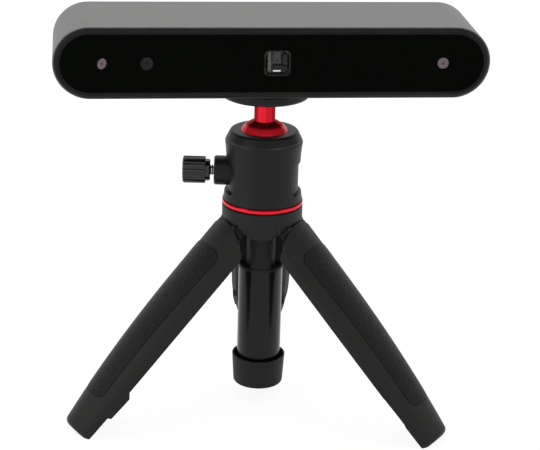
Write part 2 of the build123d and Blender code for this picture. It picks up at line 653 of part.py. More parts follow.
def clamp_screw():
    """Screw with a tapered point and thread grooves where it shows beside the boss."""
    knob_start = BOSS_REACH + KNOB_GAP
    shaft = along_x(SCREW_RADIUS, SCREW_REACH, knob_start + KNOB_COLLAR_LENGTH + KNOB_LENGTH / 2)
    tip = Pos(SCREW_REACH, 0, 0) * Cone(
        SCREW_RADIUS, SCREW_TIP_RADIUS, SCREW_TIP_LENGTH, rotation=(0, -90, 0),
        align=(Align.CENTER, Align.CENTER, Align.MIN))
    shaft += tip
    grooves = int(KNOB_GAP / SCREW_PITCH) + 1
    for i in range(grooves):
        middle = BOSS_REACH + KNOB_GAP / 2 + (i - (grooves - 1) / 2) * SCREW_PITCH
        ring = along_x(SCREW_RADIUS + 1, middle - SCREW_PITCH / 4, middle + SCREW_PITCH / 4)
        shaft -= ring - along_x(SCREW_RADIUS - SCREW_THREAD_DEPTH, middle - SCREW_PITCH, middle + SCREW_PITCH)
    return knob_frame(shaft, 0)


def clamp_knob():
    """Fluted knob with a collar, pressed on the clamp screw."""
    start = BOSS_REACH + KNOB_GAP
    middle = start + KNOB_COLLAR_LENGTH
    end = middle + KNOB_LENGTH
    collar = chamfer(along_x(KNOB_COLLAR_RADIUS, start, middle).edges().group_by(Axis.X)[0], 0.4)
    grip = along_x(KNOB_RADIUS, middle, end)
    grip = chamfer(grip.edges().group_by(Axis.X)[-1], KNOB_CROWN)
    grip = chamfer(grip.edges().group_by(Axis.X)[0], KNOB_CROWN / 2)
    for i in range(KNOB_FLUTES):
        flute = Pos(0, 0, KNOB_RADIUS + KNOB_FLUTE_RADIUS / 3) * along_x(KNOB_FLUTE_RADIUS, middle, end)
        grip -= Rot(360 / KNOB_FLUTES * i, 0, 0) * flute
    knob = collar + grip - along_x(SCREW_RADIUS, start, middle + KNOB_LENGTH / 2)
    return knob_frame(knob, 0)


def back_profile(offset, top, bottom, corner):
    """The folded handle's solid of revolution: straight at the top, curving in to the foot."""
    with BuildPart() as handle:
        with BuildSketch(Plane.XZ):
            with BuildLine():
                upper = Line((HANDLE_TOP_RADIUS + offset, -top), (HANDLE_MID_RADIUS + offset, -HANDLE_MID))
                TangentArc((HANDLE_MID_RADIUS + offset, -HANDLE_MID), (HANDLE_FOOT_RADIUS + offset, -LEG_LENGTH),
                           tangent=upper % 1)
                Polyline((HANDLE_FOOT_RADIUS + offset, -LEG_LENGTH), (0, -LEG_LENGTH), (0, -top),
                         (HANDLE_TOP_RADIUS + offset, -top))
            make_face()
            if corner > 0:
                ends = [v for v in vertices() if v.X > HANDLE_FOOT_RADIUS - 1 and abs(v.Y + LEG_LENGTH) < 0.01]
                fillet(ends, corner)
        revolve(axis=Axis.Z)
    return handle.part - rod(HANDLE_TOP_RADIUS + 5, -LEG_LENGTH - 5, -bottom)


def leg_outline(inset, top_inset):
    """A leg's outline seen from outside, with its arched top and its foot, as a solid along X."""
    half = LEG_HALF_WIDTH - inset
    foot = LEG_FOOT_HALF_WIDTH - inset
    top = -LEG_TOP - top_inset
    shoulder = -LEG_SHOULDER - top_inset
    plane = Plane(origin=(0, 0, 0), x_dir=(0, 1, 0), z_dir=(1, 0, 0))
    with BuildPart() as prism:
        with BuildSketch(plane):
            with BuildLine():
                ThreePointArc((-half, shoulder), (0, top), (half, shoulder))
                side = Line((half, shoulder), (half, -LEG_STRAIGHT))
                TangentArc((half, -LEG_STRAIGHT), (foot, -LEG_LENGTH), tangent=side % 1)
                Line((foot, -LEG_LENGTH), (-foot, -LEG_LENGTH))
                other = Line((-half, shoulder), (-half, -LEG_STRAIGHT))
                TangentArc((-half, -LEG_STRAIGHT), (-foot, -LEG_LENGTH), tangent=other % 1)
            make_face()
        extrude(amount=HANDLE_TOP_RADIUS + 3)
    return prism.part


def sector():
    """One leg's share of the folded handle, a wedge with a small gap to its neighbours."""
    reach = 2 * HANDLE_TOP_RADIUS
    side = SECTOR / 2
    start = LEG_SECTOR_GAP / sin(radians(side))
    points = [(start, 0), (start + reach * cos(radians(side)), reach * sin(radians(side))),
              (start + reach, 0), (start + reach * cos(radians(side)), -reach * sin(radians(side)))]
    face = make_face(Polyline(*points, close=True))
    return Pos(0, 0, -LEG_LENGTH - 1) * extrude(face, LEG_LENGTH + 10)


def leg_block(inset, top_inset):
    """The leg as a full block: handle surface, outline and inner edges."""
    return back_profile(-inset, 0.5, LEG_LENGTH, FOOT_CORNER if inset == 0 else 0) & leg_outline(inset, top_inset)


def leg_cavity():
    """The hollow between back and side walls, open to the inside, with the ladder of ribs left in."""
    hollow = leg_block(LEG_WALL, LEG_WALL)
    hollow -= rod(2 * HANDLE_TOP_RADIUS, -LEG_LENGTH - 5, -LEG_LENGTH + FOOT_SOLID)
    ribs = [Pos(RUNG_INNER + 10, 0, -RUNG_FIRST - i * RUNG_PITCH) * Box(20, 40, RUNG_THICKNESS)
            for i in range(RUNG_COUNT)]
    ribs.append(Pos(RUNG_INNER + 10, 0, -LEG_LENGTH / 2) * Box(20, RUNG_THICKNESS, LEG_LENGTH))
    for rib in ribs:
        hollow -= rib
    return hollow


def inner_corner():
    """What is cut off the side walls' upper inner corners to round them."""
    centre_r = LEG_HALF_WIDTH / sqrt(3) + LEG_INNER_CORNER
    centre_s = LEG_SHOULDER + LEG_INNER_CORNER
    block = Pos(centre_r / 2, 0, -centre_s / 2) * Box(centre_r, 4 * LEG_HALF_WIDTH, centre_s)
    round_part = Pos(centre_r, 0, -centre_s) * Cylinder(LEG_INNER_CORNER, 4 * LEG_HALF_WIDTH, rotation=(90, 0, 0))
    return block - round_part


def lug_profile(grow):
    """Side view of the closing lug on a side wall's inner edge."""
    top = LUG_TOP - grow
    bottom = LUG_BOTTOM + grow
    tip = LUG_TIP - grow
    points = [(LUG_SUNK, -top), (tip + LUG_RAMP, -top), (tip, -top - LUG_RAMP), (tip, -bottom + LUG_RAMP / 2),
              (tip + LUG_RAMP, -bottom), (LUG_SUNK, -bottom)]
    return make_face(Polyline(*[(r, 0, z) for r, z in points], close=True))


def lug(grow):
    """The lug, as thick as the side wall and flush with its outer face, larger all round by grow."""
    plate = extrude(Pos(0, 3 * LEG_HALF_WIDTH, 0) * lug_profile(grow), 3 * LEG_HALF_WIDTH, dir=(0, -1, 0))
    return (plate & leg_block(-grow, -grow)) - leg_outline(LEG_WALL + grow, 0)


def lug_notch():
    """Clearance in the other side wall for the neighbour's lug, where it lies when the legs are folded."""
    return Rot(0, 0, -SECTOR) * lug(LUG_CLEARANCE)


def grip_outline(gap):
    """The grip's outline seen from outside, as a solid along X."""
    top = -GRIP_TOP + gap
    bottom = -GRIP_BOTTOM - gap
    wide = GRIP_TOP_HALF_WIDTH + gap
    narrow = GRIP_FOOT_HALF_WIDTH + gap
    plane = Plane(origin=(0, 0, 0), x_dir=(0, 1, 0), z_dir=(1, 0, 0))
    with BuildPart() as prism:
        with BuildSketch(plane):
            with BuildLine():
                Polyline((-wide, top), (wide, top), (narrow, bottom), (-narrow, bottom), close=True)
            make_face()
            fillet(vertices(), GRIP_CORNER + gap)
        extrude(amount=HANDLE_TOP_RADIUS + 3)
    return prism.part


def knuckle():
    """The web that joins the hinge to the leg's back, the hinge barrel, and its bore."""
    half = KNUCKLE_WIDTH / 2
    points = [(HINGE_RADIUS - KNUCKLE_RADIUS, 0), (HINGE_RADIUS - KNUCKLE_RADIUS * 0.75, -LEG_SHOULDER - LEG_WALL),
              (HANDLE_MID_RADIUS - LEG_WALL / 2, -LEG_SHOULDER - 2 * LEG_WALL),
              (HANDLE_MID_RADIUS - LEG_WALL / 2, -LEG_TOP), (HINGE_RADIUS + KNUCKLE_RADIUS * 0.7, 0)]
    web = extrude(make_face(Polyline(*[(r, -half, z) for r, z in points], close=True)), KNUCKLE_WIDTH, dir=(0, 1, 0))
    barrel = Pos(HINGE_RADIUS, 0, 0) * Cylinder(KNUCKLE_RADIUS, KNUCKLE_WIDTH, rotation=(90, 0, 0))
    bore = Pos(HINGE_RADIUS, 0, 0) * Cylinder(PIN_RADIUS + RUNNING_CLEARANCE, 2 * KNUCKLE_WIDTH, rotation=(90, 0, 0))
    return web, barrel, bore


def opened(shape):
    """Swings a folded leg's shape out to its open stop."""
    hinge = Pos(HINGE_RADIUS, 0, HINGE_Z) * Rot(0, -LEG_OPEN_ANGLE, 0) * Pos(-HINGE_RADIUS, 0, 0)
    return hinge * shape


def closed_from_open(shape):
    hinge = Pos(HINGE_RADIUS, 0, 0) * Rot(0, LEG_OPEN_ANGLE, 0) * Pos(-HINGE_RADIUS, 0, -HINGE_Z)
    return hinge * shape


def hub_in_leg_frame():
    """The hub's body, as it lies beside the folded leg when the leg is open, less the way for the web."""
    hub = rod(HUB_RADIUS + LEG_TOP_GAP, HUB_BOTTOM - LEG_TOP_GAP, HUB_TOP)
    way = Box(4 * HUB_RADIUS, KNUCKLE_WIDTH, 4 * HUB_HEIGHT) & leg_outline(0, -LEG_TOP_RELIEF)
    hub -= Pos(0, 0, HINGE_Z) * way
    return closed_from_open(hub)


def foot_cut():
    """Everything below the floor, seen from the folded leg."""
    floor = Pos(HINGE_RADIUS + LEG_LENGTH / 2, 0, -20) * Box(4 * LEG_LENGTH, 60, 40)
    return closed_from_open(floor)


def foot_plug():
    middle = (FOOT_INNER + HANDLE_FOOT_RADIUS) / 2
    low = -LEG_LENGTH + FOOT_PAD_THICKNESS
    return Pos(middle, 0, low) * Cylinder(
        FOOT_PLUG_RADIUS, FOOT_PLUG_LENGTH, align=(Align.CENTER, Align.CENTER, Align.MIN))


def leg_pieces():
    """A folded leg, its grip and its foot pad, drawn at azimuth 0 with the hinge at height 0."""
    solid = (leg_block(0, 0) & sector()) - inner_corner() - leg_cavity()
    solid -= rod(FOOT_INNER, -LEG_LENGTH - 5, 5)
    solid -= Pos(FOOT_INNER / 2, 0, -LEG_LENGTH / 2) * Box(FOOT_INNER, 40, LEG_LENGTH + 20)
    solid += lug(0)
    solid -= lug_notch()
    web, barrel, bore = knuckle()
    solid = solid + web - hub_in_leg_frame() + barrel - bore
    groove = back_profile(2, GRIP_TOP - 5, GRIP_BOTTOM + 5, 0) - back_profile(-GRIP_DEPTH, 0.5, LEG_LENGTH, 0)
    solid -= groove & grip_outline(GRIP_SEAM)
    strip = back_profile(GRIP_PROUD, GRIP_TOP - 5, GRIP_BOTTOM + 5, 0) - back_profile(-GRIP_DEPTH, 0.5, LEG_LENGTH, 0)
    grip = strip & grip_outline(0)
    below = rod(2 * HANDLE_TOP_RADIUS, -LEG_LENGTH - 5, -LEG_LENGTH + FOOT_PAD_THICKNESS)
    pad = (solid & below) - foot_cut() + foot_plug()
    return solid - below - foot_plug(), grip, pad


def place_leg(shape, index):
    return Rot(0, 0, 90 + TRIPOD_TURN + index * SECTOR) * opened(shape)


def leg_slot():
    """Slot of a knuckle in the hub, with a recess for the leg's arched top, at azimuth 0."""
    width = KNUCKLE_WIDTH + 2 * HINGE_SIDE_GAP
    depth = HINGE_RADIUS - KNUCKLE_RADIUS - HINGE_SIDE_GAP
    slot = Pos(depth + HUB_RADIUS, 0, HINGE_Z - HUB_HEIGHT) * Box(2 * HUB_RADIUS, width, 2 * HUB_HEIGHT)
    slot += Pos(HINGE_RADIUS, 0, HINGE_Z) * Cylinder(KNUCKLE_RADIUS + HINGE_SIDE_GAP, width, rotation=(90, 0, 0))
    inner = Pos(depth - HUB_RADIUS, 0, HINGE_Z) * Box(2 * HUB_RADIUS, 2 * width, 4 * HUB_HEIGHT)
    slot -= inner
    arch = Pos(0, 0, HINGE_Z) * leg_outline(-LEG_TOP_GAP, -LEG_TOP_GAP)
    arch -= rod(HINGE_RADIUS - LEG_TOP_GAP, 0, HUB_TOP)
    relief = Pos(0, 0, HINGE_Z) * leg_outline(-LEG_TOP_GAP, -LEG_TOP_GAP - LEG_TOP_RELIEF)
    relief -= rod(HINGE_RADIUS + PIN_RADIUS - LEG_TOP_GAP / 2, 0, HUB_TOP)
    return slot + arch + relief


def neck_rib():
    """Tapered rib between two legs, from the collar up to the hub."""
    top = HUB_BOTTOM + NECK_ROOT
    points = [(0, -NECK_RIB_BOTTOM / 2, COLLAR_TOP), (0, NECK_RIB_BOTTOM / 2, COLLAR_TOP),
              (0, NECK_RIB_TOP / 2, top), (0, -NECK_RIB_TOP / 2, top)]
    return extrude(make_face(Polyline(*points, close=True)), 2 * TUBE_RADIUS, dir=(1, 0, 0))


def leg_hub():
    """Hub with three hinge slots, the ribbed neck, and the collar and spigot on the centre tube."""
    hub = chamfer(rod(HUB_RADIUS, HUB_BOTTOM, HUB_TOP).edges().group_by(Axis.Z)[-1], 0.3)
    azimuths = [90 + TRIPOD_TURN + i * SECTOR for i in range(LEG_COUNT)]
    for azimuth in azimuths:
        hub -= Rot(0, 0, azimuth) * leg_slot()
        pin = Pos(HINGE_RADIUS, 0, HINGE_Z) * Cylinder(PIN_RADIUS, PIN_LENGTH, rotation=(90, 0, 0))
        hub -= Rot(0, 0, azimuth) * pin
    neck_top = HUB_BOTTOM + NECK_ROOT
    ribs = rod(NECK_CORE_RADIUS, COLLAR_TOP, neck_top)
    for azimuth in azimuths:
        ribs += (Rot(0, 0, azimuth + SECTOR / 2) * neck_rib()) & rod(TUBE_RADIUS, COLLAR_TOP, neck_top)
    hub += ribs
    hub += rod(COLLAR_RADIUS, TUBE_TOP, COLLAR_TOP)
    hub += rod(TUBE_RADIUS - TUBE_WALL, TUBE_TOP - SPIGOT_LENGTH, COLLAR_TOP)
    return hub - rod(POLE_MIDDLE_RADIUS + RUNNING_CLEARANCE, TUBE_TOP - SPIGOT_LENGTH, HUB_TOP)


def hinge_pin(index):
    pin = Pos(HINGE_RADIUS, 0, HINGE_Z) * Cylinder(PIN_RADIUS, PIN_LENGTH, rotation=(90, 0, 0))
    return Rot(0, 0, 90 + TRIPOD_TURN + index * SECTOR) * pin


def centre_tube():
    return tube(TUBE_RADIUS, TUBE_RADIUS - TUBE_WALL, TUBE_BOTTOM, TUBE_TOP)


def tube_end_cap():
    """Rubber cup on the tube's end, flared away from the tube at its rim."""
    top = CAP_BOTTOM + CAP_HEIGHT
    cup = turned([(0, 0), (CAP_BASE_RADIUS, 0), (CAP_RIM_RADIUS, CAP_HEIGHT), (0, CAP_HEIGHT)], CAP_BOTTOM)
    cup = fillet(cup.edges().group_by(Axis.Z)[0], CAP_FILLET)
    cup -= rod(TUBE_RADIUS, TUBE_BOTTOM, top)
    flare = [(TUBE_RADIUS, CAP_FLOOR + CAP_GRIP_HEIGHT), (CAP_RIM_RADIUS - CAP_RIM_WALL, CAP_HEIGHT),
             (0, CAP_HEIGHT), (0, CAP_FLOOR + CAP_GRIP_HEIGHT)]
    return cup - turned(flare, CAP_BOTTOM)


def pole_foot():
    return TUBE_BOTTOM + POLE_FLOOR_GAP


def pole_middle():
    """Lower telescoping section, with a lip at its top that guides the inner section."""
    section = tube(POLE_MIDDLE_RADIUS, POLE_MIDDLE_BORE, pole_foot(), HUB_TOP - RUNNING_CLEARANCE)
    lip_low = HUB_TOP - POLE_LIP_HEIGHT
    return section + tube(POLE_MIDDLE_BORE, POLE_INNER_RADIUS + RUNNING_CLEARANCE, lip_low, HUB_TOP - RUNNING_CLEARANCE)


def pole_middle_bush():
    low = pole_foot()
    return tube(TUBE_RADIUS - TUBE_WALL - RUNNING_CLEARANCE, POLE_MIDDLE_RADIUS, low, low + POLE_BUSH_HEIGHT)


def pole_inner():
    return tube(POLE_INNER_RADIUS, POLE_INNER_BORE, pole_foot() + POLE_FLOOR_GAP, RING_TOP + PLUG_THICKNESS / 2)


def pole_inner_bush():
    low = pole_foot() + POLE_FLOOR_GAP
    return tube(POLE_MIDDLE_BORE - RUNNING_CLEARANCE, POLE_INNER_RADIUS, low, low + POLE_BUSH_HEIGHT)


def assembly():
    """Every node by name; a list holds several like solids."""
    nodes = {
        "scanner_shell": scanner_shell(),
        "front_bezel": front_bezel(),
        "front_window": front_window(),
        "left_infrared_camera": camera_module(-CAMERA_X),
        "right_infrared_camera": camera_module(CAMERA_X),
        "colour_camera": camera_module(COLOUR_X),
        "left_infrared_lens": camera_lens(-CAMERA_X),
        "right_infrared_lens": camera_lens(CAMERA_X),
        "colour_lens": camera_lens(COLOUR_X),
        "projector_body": projector_body(),
        "projector_lens": projector_lens(),
        "optical_bench": optical_bench(),
        "main_board": main_board(),
        "board_screws": board_screws(),
        "heat_sink": heat_sink(),
        "rear_cover": rear_cover(),
        "cover_screws": cover_screws(),
        "power_button": power_button(),
        "button_switch": button_switch(),
        "status_light": status_light(),
        "usb_socket": usb_socket(),
        "tripod_bush": tripod_bush(),
        "mount_plate": mount_plate(),
        "plate_pad": plate_pad(),
        "mount_stud": mount_stud(),
        "ball_and_stem": ball_and_stem(),
        "ball_seat": ball_seat(),
        "pressure_block": pressure_block(),
        "head_housing": head_housing(),
        "base_plug": base_plug(),
        "trim_ring": trim_ring(),
        "clamp_screw": clamp_screw(),
        "clamp_knob": clamp_knob(),
        "leg_hub": leg_hub(),
        "centre_tube": centre_tube(),
        "tube_end_cap": tube_end_cap(),
        "pole_middle": pole_middle(),
        "pole_middle_bush": pole_middle_bush(),
        "pole_inner": pole_inner(),
        "pole_inner_bush": pole_inner_bush(),
    }
    for name, hole in window_holes(0).items():
        nodes[name] = across(hole, WINDOW_FRONT, WINDOW_BACK)
    leg, grip, pad = leg_pieces()
    for i in range(LEG_COUNT):
        nodes[f"hinge_pin_{i + 1}"] = hinge_pin(i)
        nodes[f"leg_{i + 1}"] = place_leg(leg, i)
        nodes[f"grip_{i + 1}"] = place_leg(grip, i)
        nodes[f"foot_pad_{i + 1}"] = place_leg(pad, i)
    return nodes


def solids_of(shape):
    if isinstance(shape, (list, ShapeList)):
        return [solid for each in shape for solid in each.solids()]
    return list(shape.solids())


def centre_on_floor(nodes):
    """How far the model moves so that its origin is the middle of its box, on the floor."""
    box = Compound(children=[s for shape in nodes.values() for s in solids_of(shape)]).bounding_box()
    return Vector(-(box.min.X + box.max.X) / 2, -(box.min.Y + box.max.Y) / 2, -box.min.Z)


def main():
    os.makedirs("parts", exist_ok=True)
    nodes = assembly()
    shift = centre_on_floor(nodes)
    print("tripod axis at", round(shift.X, 4), round(shift.Y, 4), "lift", round(shift.Z, 4))
    for name, shape in nodes.items():
        solids = [Pos(shift.X, shift.Y, shift.Z) * s for s in solids_of(shape)]
        part = solids[0] if len(solids) == 1 else Compound(children=solids)
        export_step(part, f"parts/{name}.step")


main()
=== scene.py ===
import json
import math

import bmesh
import bpy
from bpy.props import FloatProperty, FloatVectorProperty, IntProperty, PointerProperty
from mathutils import Matrix, Vector


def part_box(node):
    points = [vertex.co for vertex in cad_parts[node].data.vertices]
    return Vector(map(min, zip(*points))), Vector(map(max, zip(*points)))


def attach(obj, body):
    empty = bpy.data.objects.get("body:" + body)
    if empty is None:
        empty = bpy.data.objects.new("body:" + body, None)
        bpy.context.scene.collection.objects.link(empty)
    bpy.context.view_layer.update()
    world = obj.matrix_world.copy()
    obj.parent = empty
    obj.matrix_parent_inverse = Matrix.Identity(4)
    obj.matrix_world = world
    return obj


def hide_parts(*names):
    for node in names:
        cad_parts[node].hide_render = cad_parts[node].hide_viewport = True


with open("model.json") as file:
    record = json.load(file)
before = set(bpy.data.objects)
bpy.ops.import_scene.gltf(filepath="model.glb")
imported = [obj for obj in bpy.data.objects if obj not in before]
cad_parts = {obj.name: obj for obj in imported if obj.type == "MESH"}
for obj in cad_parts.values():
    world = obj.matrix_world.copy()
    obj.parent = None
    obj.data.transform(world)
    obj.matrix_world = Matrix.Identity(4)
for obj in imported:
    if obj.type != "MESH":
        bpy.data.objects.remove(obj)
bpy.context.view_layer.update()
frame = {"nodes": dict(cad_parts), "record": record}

bl_info = {
    "name": "Desktop Scanner Dresser",
    "version": (1, 0, 0),
    "blender": (4, 5, 0),
    "location": "3D View > Sidebar > Scanner",
    "description": "Finishes a bar-shaped scanner on a folding table tripod",
    "category": "Object",
}

MM = 0.001


def centre_of(node):
    low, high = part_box(node)
    return (low + high) / 2


SCANNER_MIDDLE = centre_of("scanner_shell")

# Attribute that is 1 on the rounded edges
EDGE_LAYER = "rounded_edge"

# Places of the colour sockets in a Mix node
FIRST_COLOUR = 6
SECOND_COLOUR = 7
MIXED_COLOUR = 2

# Radii of edges that are finer or broader than the moulded ones
HAIR_EDGE = 0.05 * MM
SHARP_EDGE = 0.08 * MM
FINE_EDGE = 0.1 * MM
SCREW_EDGE = 0.12 * MM
TURNED_EDGE = 0.15 * MM
SOLE_EDGE = 0.2 * MM
BROAD_EDGE = 0.3 * MM
RING_EDGE = 0.45 * MM

# Faces that meet at less than FLAT are joined, and edges steeper than STEEP are rounded
FLAT = math.radians(0.4)
STEEP = math.radians(40)
HOUSING_STEEP = math.radians(14)

# Bars behind the projector's window: left, bottom, right, top and rise in mm, from the window's middle
MASK_BEHIND_WINDOW = 0.45 * MM
MASK_THICKNESS = 0.5 * MM
MASK_BARS = ((-3.4, -3.9, 3.6, -1.4, 0.0), (-2.0, -1.2, -1.3, 3.9, 0.0))
SIDE_PANEL = (1.9, -0.9, 3.6, 3.0, 0.12)
MIRROR_STRIP = (-3.3, -3.45, -2.1, 3.45, 0.1)
DIFFUSER_BAR = (-1.4, -3.5, 1.35, -2.9, 0.15)

# Camera filters and lenses: tint, a painted reflection (on a lens a coating made bright as one), radius of
# the painted dark pupil, and a filter's shift of its two arcs
MAUVE_REFLECTION = (0.165, 0.125, 0.143)
GREEN_BLACK = (0.0135, 0.0155, 0.014)
ROSE = (0.62, 0.45, 0.52)
DARK_GREEN = (0.045, 0.055, 0.048)
REFLECTION_RADIUS = 2.2 * MM
REFLECTION_FADE = 0.35 * MM
FILTER_PUPIL_FADE = 0.4 * MM
LENS_PUPIL_FADE = 0.5 * MM
LEAF_LEAN = math.radians(20)
CAMERA_FILTERS = (
    ("left_infrared_window", MAUVE_REFLECTION, 0.2 * MM, 0.95 * MM),
    ("right_infrared_window", MAUVE_REFLECTION, 0.3 * MM, 0.25 * MM),
    ("colour_window", GREEN_BLACK, 0.45 * MM, -0.3 * MM),
)
LENSES = (
    ("left_infrared_lens", ROSE, 0.5 * MM),
    ("right_infrared_lens", ROSE, 0.5 * MM),
    ("colour_lens", DARK_GREEN, 0.4 * MM),
    ("projector_lens", DARK_GREEN, 0.4 * MM),
)

# Sleeve's painted shade at the lip, which fades out from just above its underside, and its upper half,
# where the edges get wear and a painted highlight
SHADED_LIP_START = SCANNER_MIDDLE.z - 12.9 * MM
SHADED_LIP_FADE = 1.5 * MM
UPPER_HIGHLIGHT_FADE = 6 * MM

# Ball's painted highlight band, which starts below the housing's rim
HIGHLIGHT_BAND_DROP = 2 * MM
HIGHLIGHT_BAND_HEIGHT = 3.4 * MM
HIGHLIGHT_BAND_FADE = 1 * MM

# Ring's painted highlight line, in shares of the ring's height
RING_HIGHLIGHT_START = 0.375
RING_HIGHLIGHT_HEIGHT = 0.2

# Housing's shoulder below its rim, the painted highlight line round it, the painted shade of the slope over
# it and the painted light of the flat top
SHOULDER_DROP = 3.3 * MM
HIGHLIGHT_LINE_WIDTH = 0.12 * MM
HIGHLIGHT_LINE_FADE = 0.25 * MM
SLOPE_SHADE_FADE = 1 * MM
LIT_TOP_DEPTH = 0.25 * MM
LIT_TOP_FADE = 0.15 * MM

THREAD_PITCH = 0.8 * MM

# Softboxes in metres: place from the tripod's axis at the scanner's height, then width and height
TOP_SOFTBOX = ((0.0, 0.25, 0.75), 0.9, 0.7)
LEFT_SOFTBOX = ((-0.8, -0.45, 0.1), 0.4, 0.9)
RIGHT_SOFTBOX = ((0.8, -0.4, 0.1), 0.4, 0.9)

# Right softbox's share of the left one's power
RIGHT_SHARE = 0.36

# Where the light at the sides, behind and overhead starts, and where the horizon's ends, each with its fade
SIDE_LIGHT = (0.45, 0.5)
BACK_LIGHT = (0.1, 0.5)
TOP_LIGHT = (0.3, 0.6)
HORIZON_LIGHT = (0.12, 0.3)

# Floor's own light where it shows, which makes up for the share that is lit
WHITE = 1.06

FLOOR_RADIUS = 3.0
FLOOR_SIDES = 96

# Camera's sensor in mm, and the nearest and farthest that it sees in metres
SENSOR_WIDTH = 36.0
NEAREST = 0.01
FARTHEST = 20.0


class Signal:
    """A socket of a node tree. Arithmetic on it adds Math nodes."""

    def __init__(self, builder, socket):
        self.builder = builder
        self.socket = socket

    def math(self, operation, *values):
        return self.builder.node("ShaderNodeMath", {"operation": operation}, dict(enumerate(values)))

    def __add__(self, other):
        return self.math("ADD", self, other)

    def __radd__(self, other):
        return self.math("ADD", other, self)

    def __sub__(self, other):
        return self.math("SUBTRACT", self, other)

    def __rsub__(self, other):
        return self.math("SUBTRACT", other, self)

    def __mul__(self, other):
        return self.math("MULTIPLY", self, other)

    def __rmul__(self, other):
        return self.math("MULTIPLY", other, self)

    def __abs__(self):
        return self.math("ABSOLUTE", self)

    def sine(self):
        return self.math("SINE", self)

    def either(self, other):
        """The greater of the two."""
        return self.math("MAXIMUM", self, other)

    def above(self, level, width):
        """0 below level, 1 above level + width, smooth between."""
        return self.builder.node(
            "ShaderNodeMapRange", {"interpolation_type": "SMOOTHSTEP"},
            {"Value": self, "From Min": level, "From Max": level + width})


def with_alpha(colour):
    """A colour as a socket takes it, or a signal as it is."""
    return colour if isinstance(colour, Signal) else (*colour, 1.0)


def shade(colour, factor):
    """A colour made darker or lighter."""
    return tuple(min(1.0, part * factor) for part in colour)


class NodeBuilder:
    """Adds nodes to a node tree."""

    def __init__(self, tree):
        self.tree = tree

    def node(self, kind, settings=None, inputs=None, output=0):
        """Adds a node: its settings first, then the values or links of its sockets."""
        made = self.tree.nodes.new(kind)
        for name, value in (settings or {}).items():
            setattr(made, name, value)
        for name, value in (inputs or {}).items():
            self.feed(made.inputs[name], value)
        return Signal(self, made.outputs[output])

    def feed(self, socket, value):
        if isinstance(value, Signal):
            self.tree.links.new(value.socket, socket)
        else:
            socket.default_value = value

    def along(self, vector, axis):
        """One component of a vector."""
        return self.node("ShaderNodeSeparateXYZ", {}, {0: vector}, output=axis)

    def seen_rays(self):
        """1 for the rays that show the background: the camera's, a reflection's and those through glass."""
        camera = self.node("ShaderNodeLightPath", output="Is Camera Ray")
        glossy = self.node("ShaderNodeLightPath", output="Is Glossy Ray")
        through = self.node("ShaderNodeLightPath", output="Is Transmission Ray")
        return camera.either(glossy).either(through)


class Paint(NodeBuilder):
    """One procedural material under construction, on Object coordinates."""

    def __init__(self, name):
        self.material = bpy.data.materials.new(name)
        self.material.use_nodes = True
        super().__init__(self.material.node_tree)
        self.shader = self.tree.nodes["Principled BSDF"]
        self.place = self.node("ShaderNodeTexCoord", output="Object")

    def noise(self, size, detail=2.0, stretch=(1, 1, 1), roughness=0.5):
        """Cloudy noise with spots about size metres across, drawn out along an axis by stretch."""
        scale = tuple(1 / each for each in stretch)
        place = self.node("ShaderNodeMapping", {}, {"Vector": self.place, "Scale": scale})
        return self.node("ShaderNodeTexNoise", {}, {
            "Vector": place, "Scale": 1 / size, "Detail": detail, "Roughness": roughness})

    def cells(self, size, feature):
        return self.node(
            "ShaderNodeTexVoronoi", {"feature": feature}, {"Vector": self.place, "Scale": 1 / size})

    def blend(self, amount, first, second):
        """Mixes two colours by amount."""
        return self.node(
            "ShaderNodeMix", {"data_type": "RGBA"},
            {"Factor": amount, FIRST_COLOUR: with_alpha(first), SECOND_COLOUR: with_alpha(second)},
            output=MIXED_COLOUR)

    def rounded(self):
        """1 on the rounded edges, 0 on the faces between them."""
        return self.node("ShaderNodeAttribute", {"attribute_name": EDGE_LAYER}, output="Fac")

    def wear_and_edge_highlight(self, size, amount=1.0):
        """Patchy wear and a painted highlight along the rounded edges."""
        return self.rounded() * self.noise(size, detail=3).above(0.3, 0.4) * amount

    def facing(self, blend):
        """0 where the surface is seen square on, 1 at a slant."""
        return self.node("ShaderNodeLayerWeight", {}, {"Blend": blend}, output="Facing")

    def height(self):
        return self.along(self.place, "Z")

    def from_axis(self, centre):
        """Distance from a line along the scanner's depth through a centre."""
        kind = "ShaderNodeVectorMath"
        offset = self.node(kind, {"operation": "SUBTRACT"}, {0: self.place, 1: tuple(centre)})
        flat = self.node(kind, {"operation": "MULTIPLY"}, {0: offset, 1: (1, 0, 1)})
        return self.node(kind, {"operation": "LENGTH"}, {0: flat}, output="Value")

    def bump(self, height, depth, strength):
        relief = self.node(
            "ShaderNodeBump", {}, {"Strength": strength, "Distance": depth, "Height": height})
        self.feed(self.shader.inputs["Normal"], relief)

    def finish(self, colour, roughness, metallic=0.0, **others):
        """Feeds the shader, with other sockets given by their names."""
        inputs = self.shader.inputs
        self.feed(inputs["Base Color"], with_alpha(colour))
        self.feed(inputs["Roughness"], roughness)
        self.feed(inputs["Metallic"], metallic)
        for name, value in others.items():
            self.feed(inputs[name.replace("_", " ")], value)
        return self.material


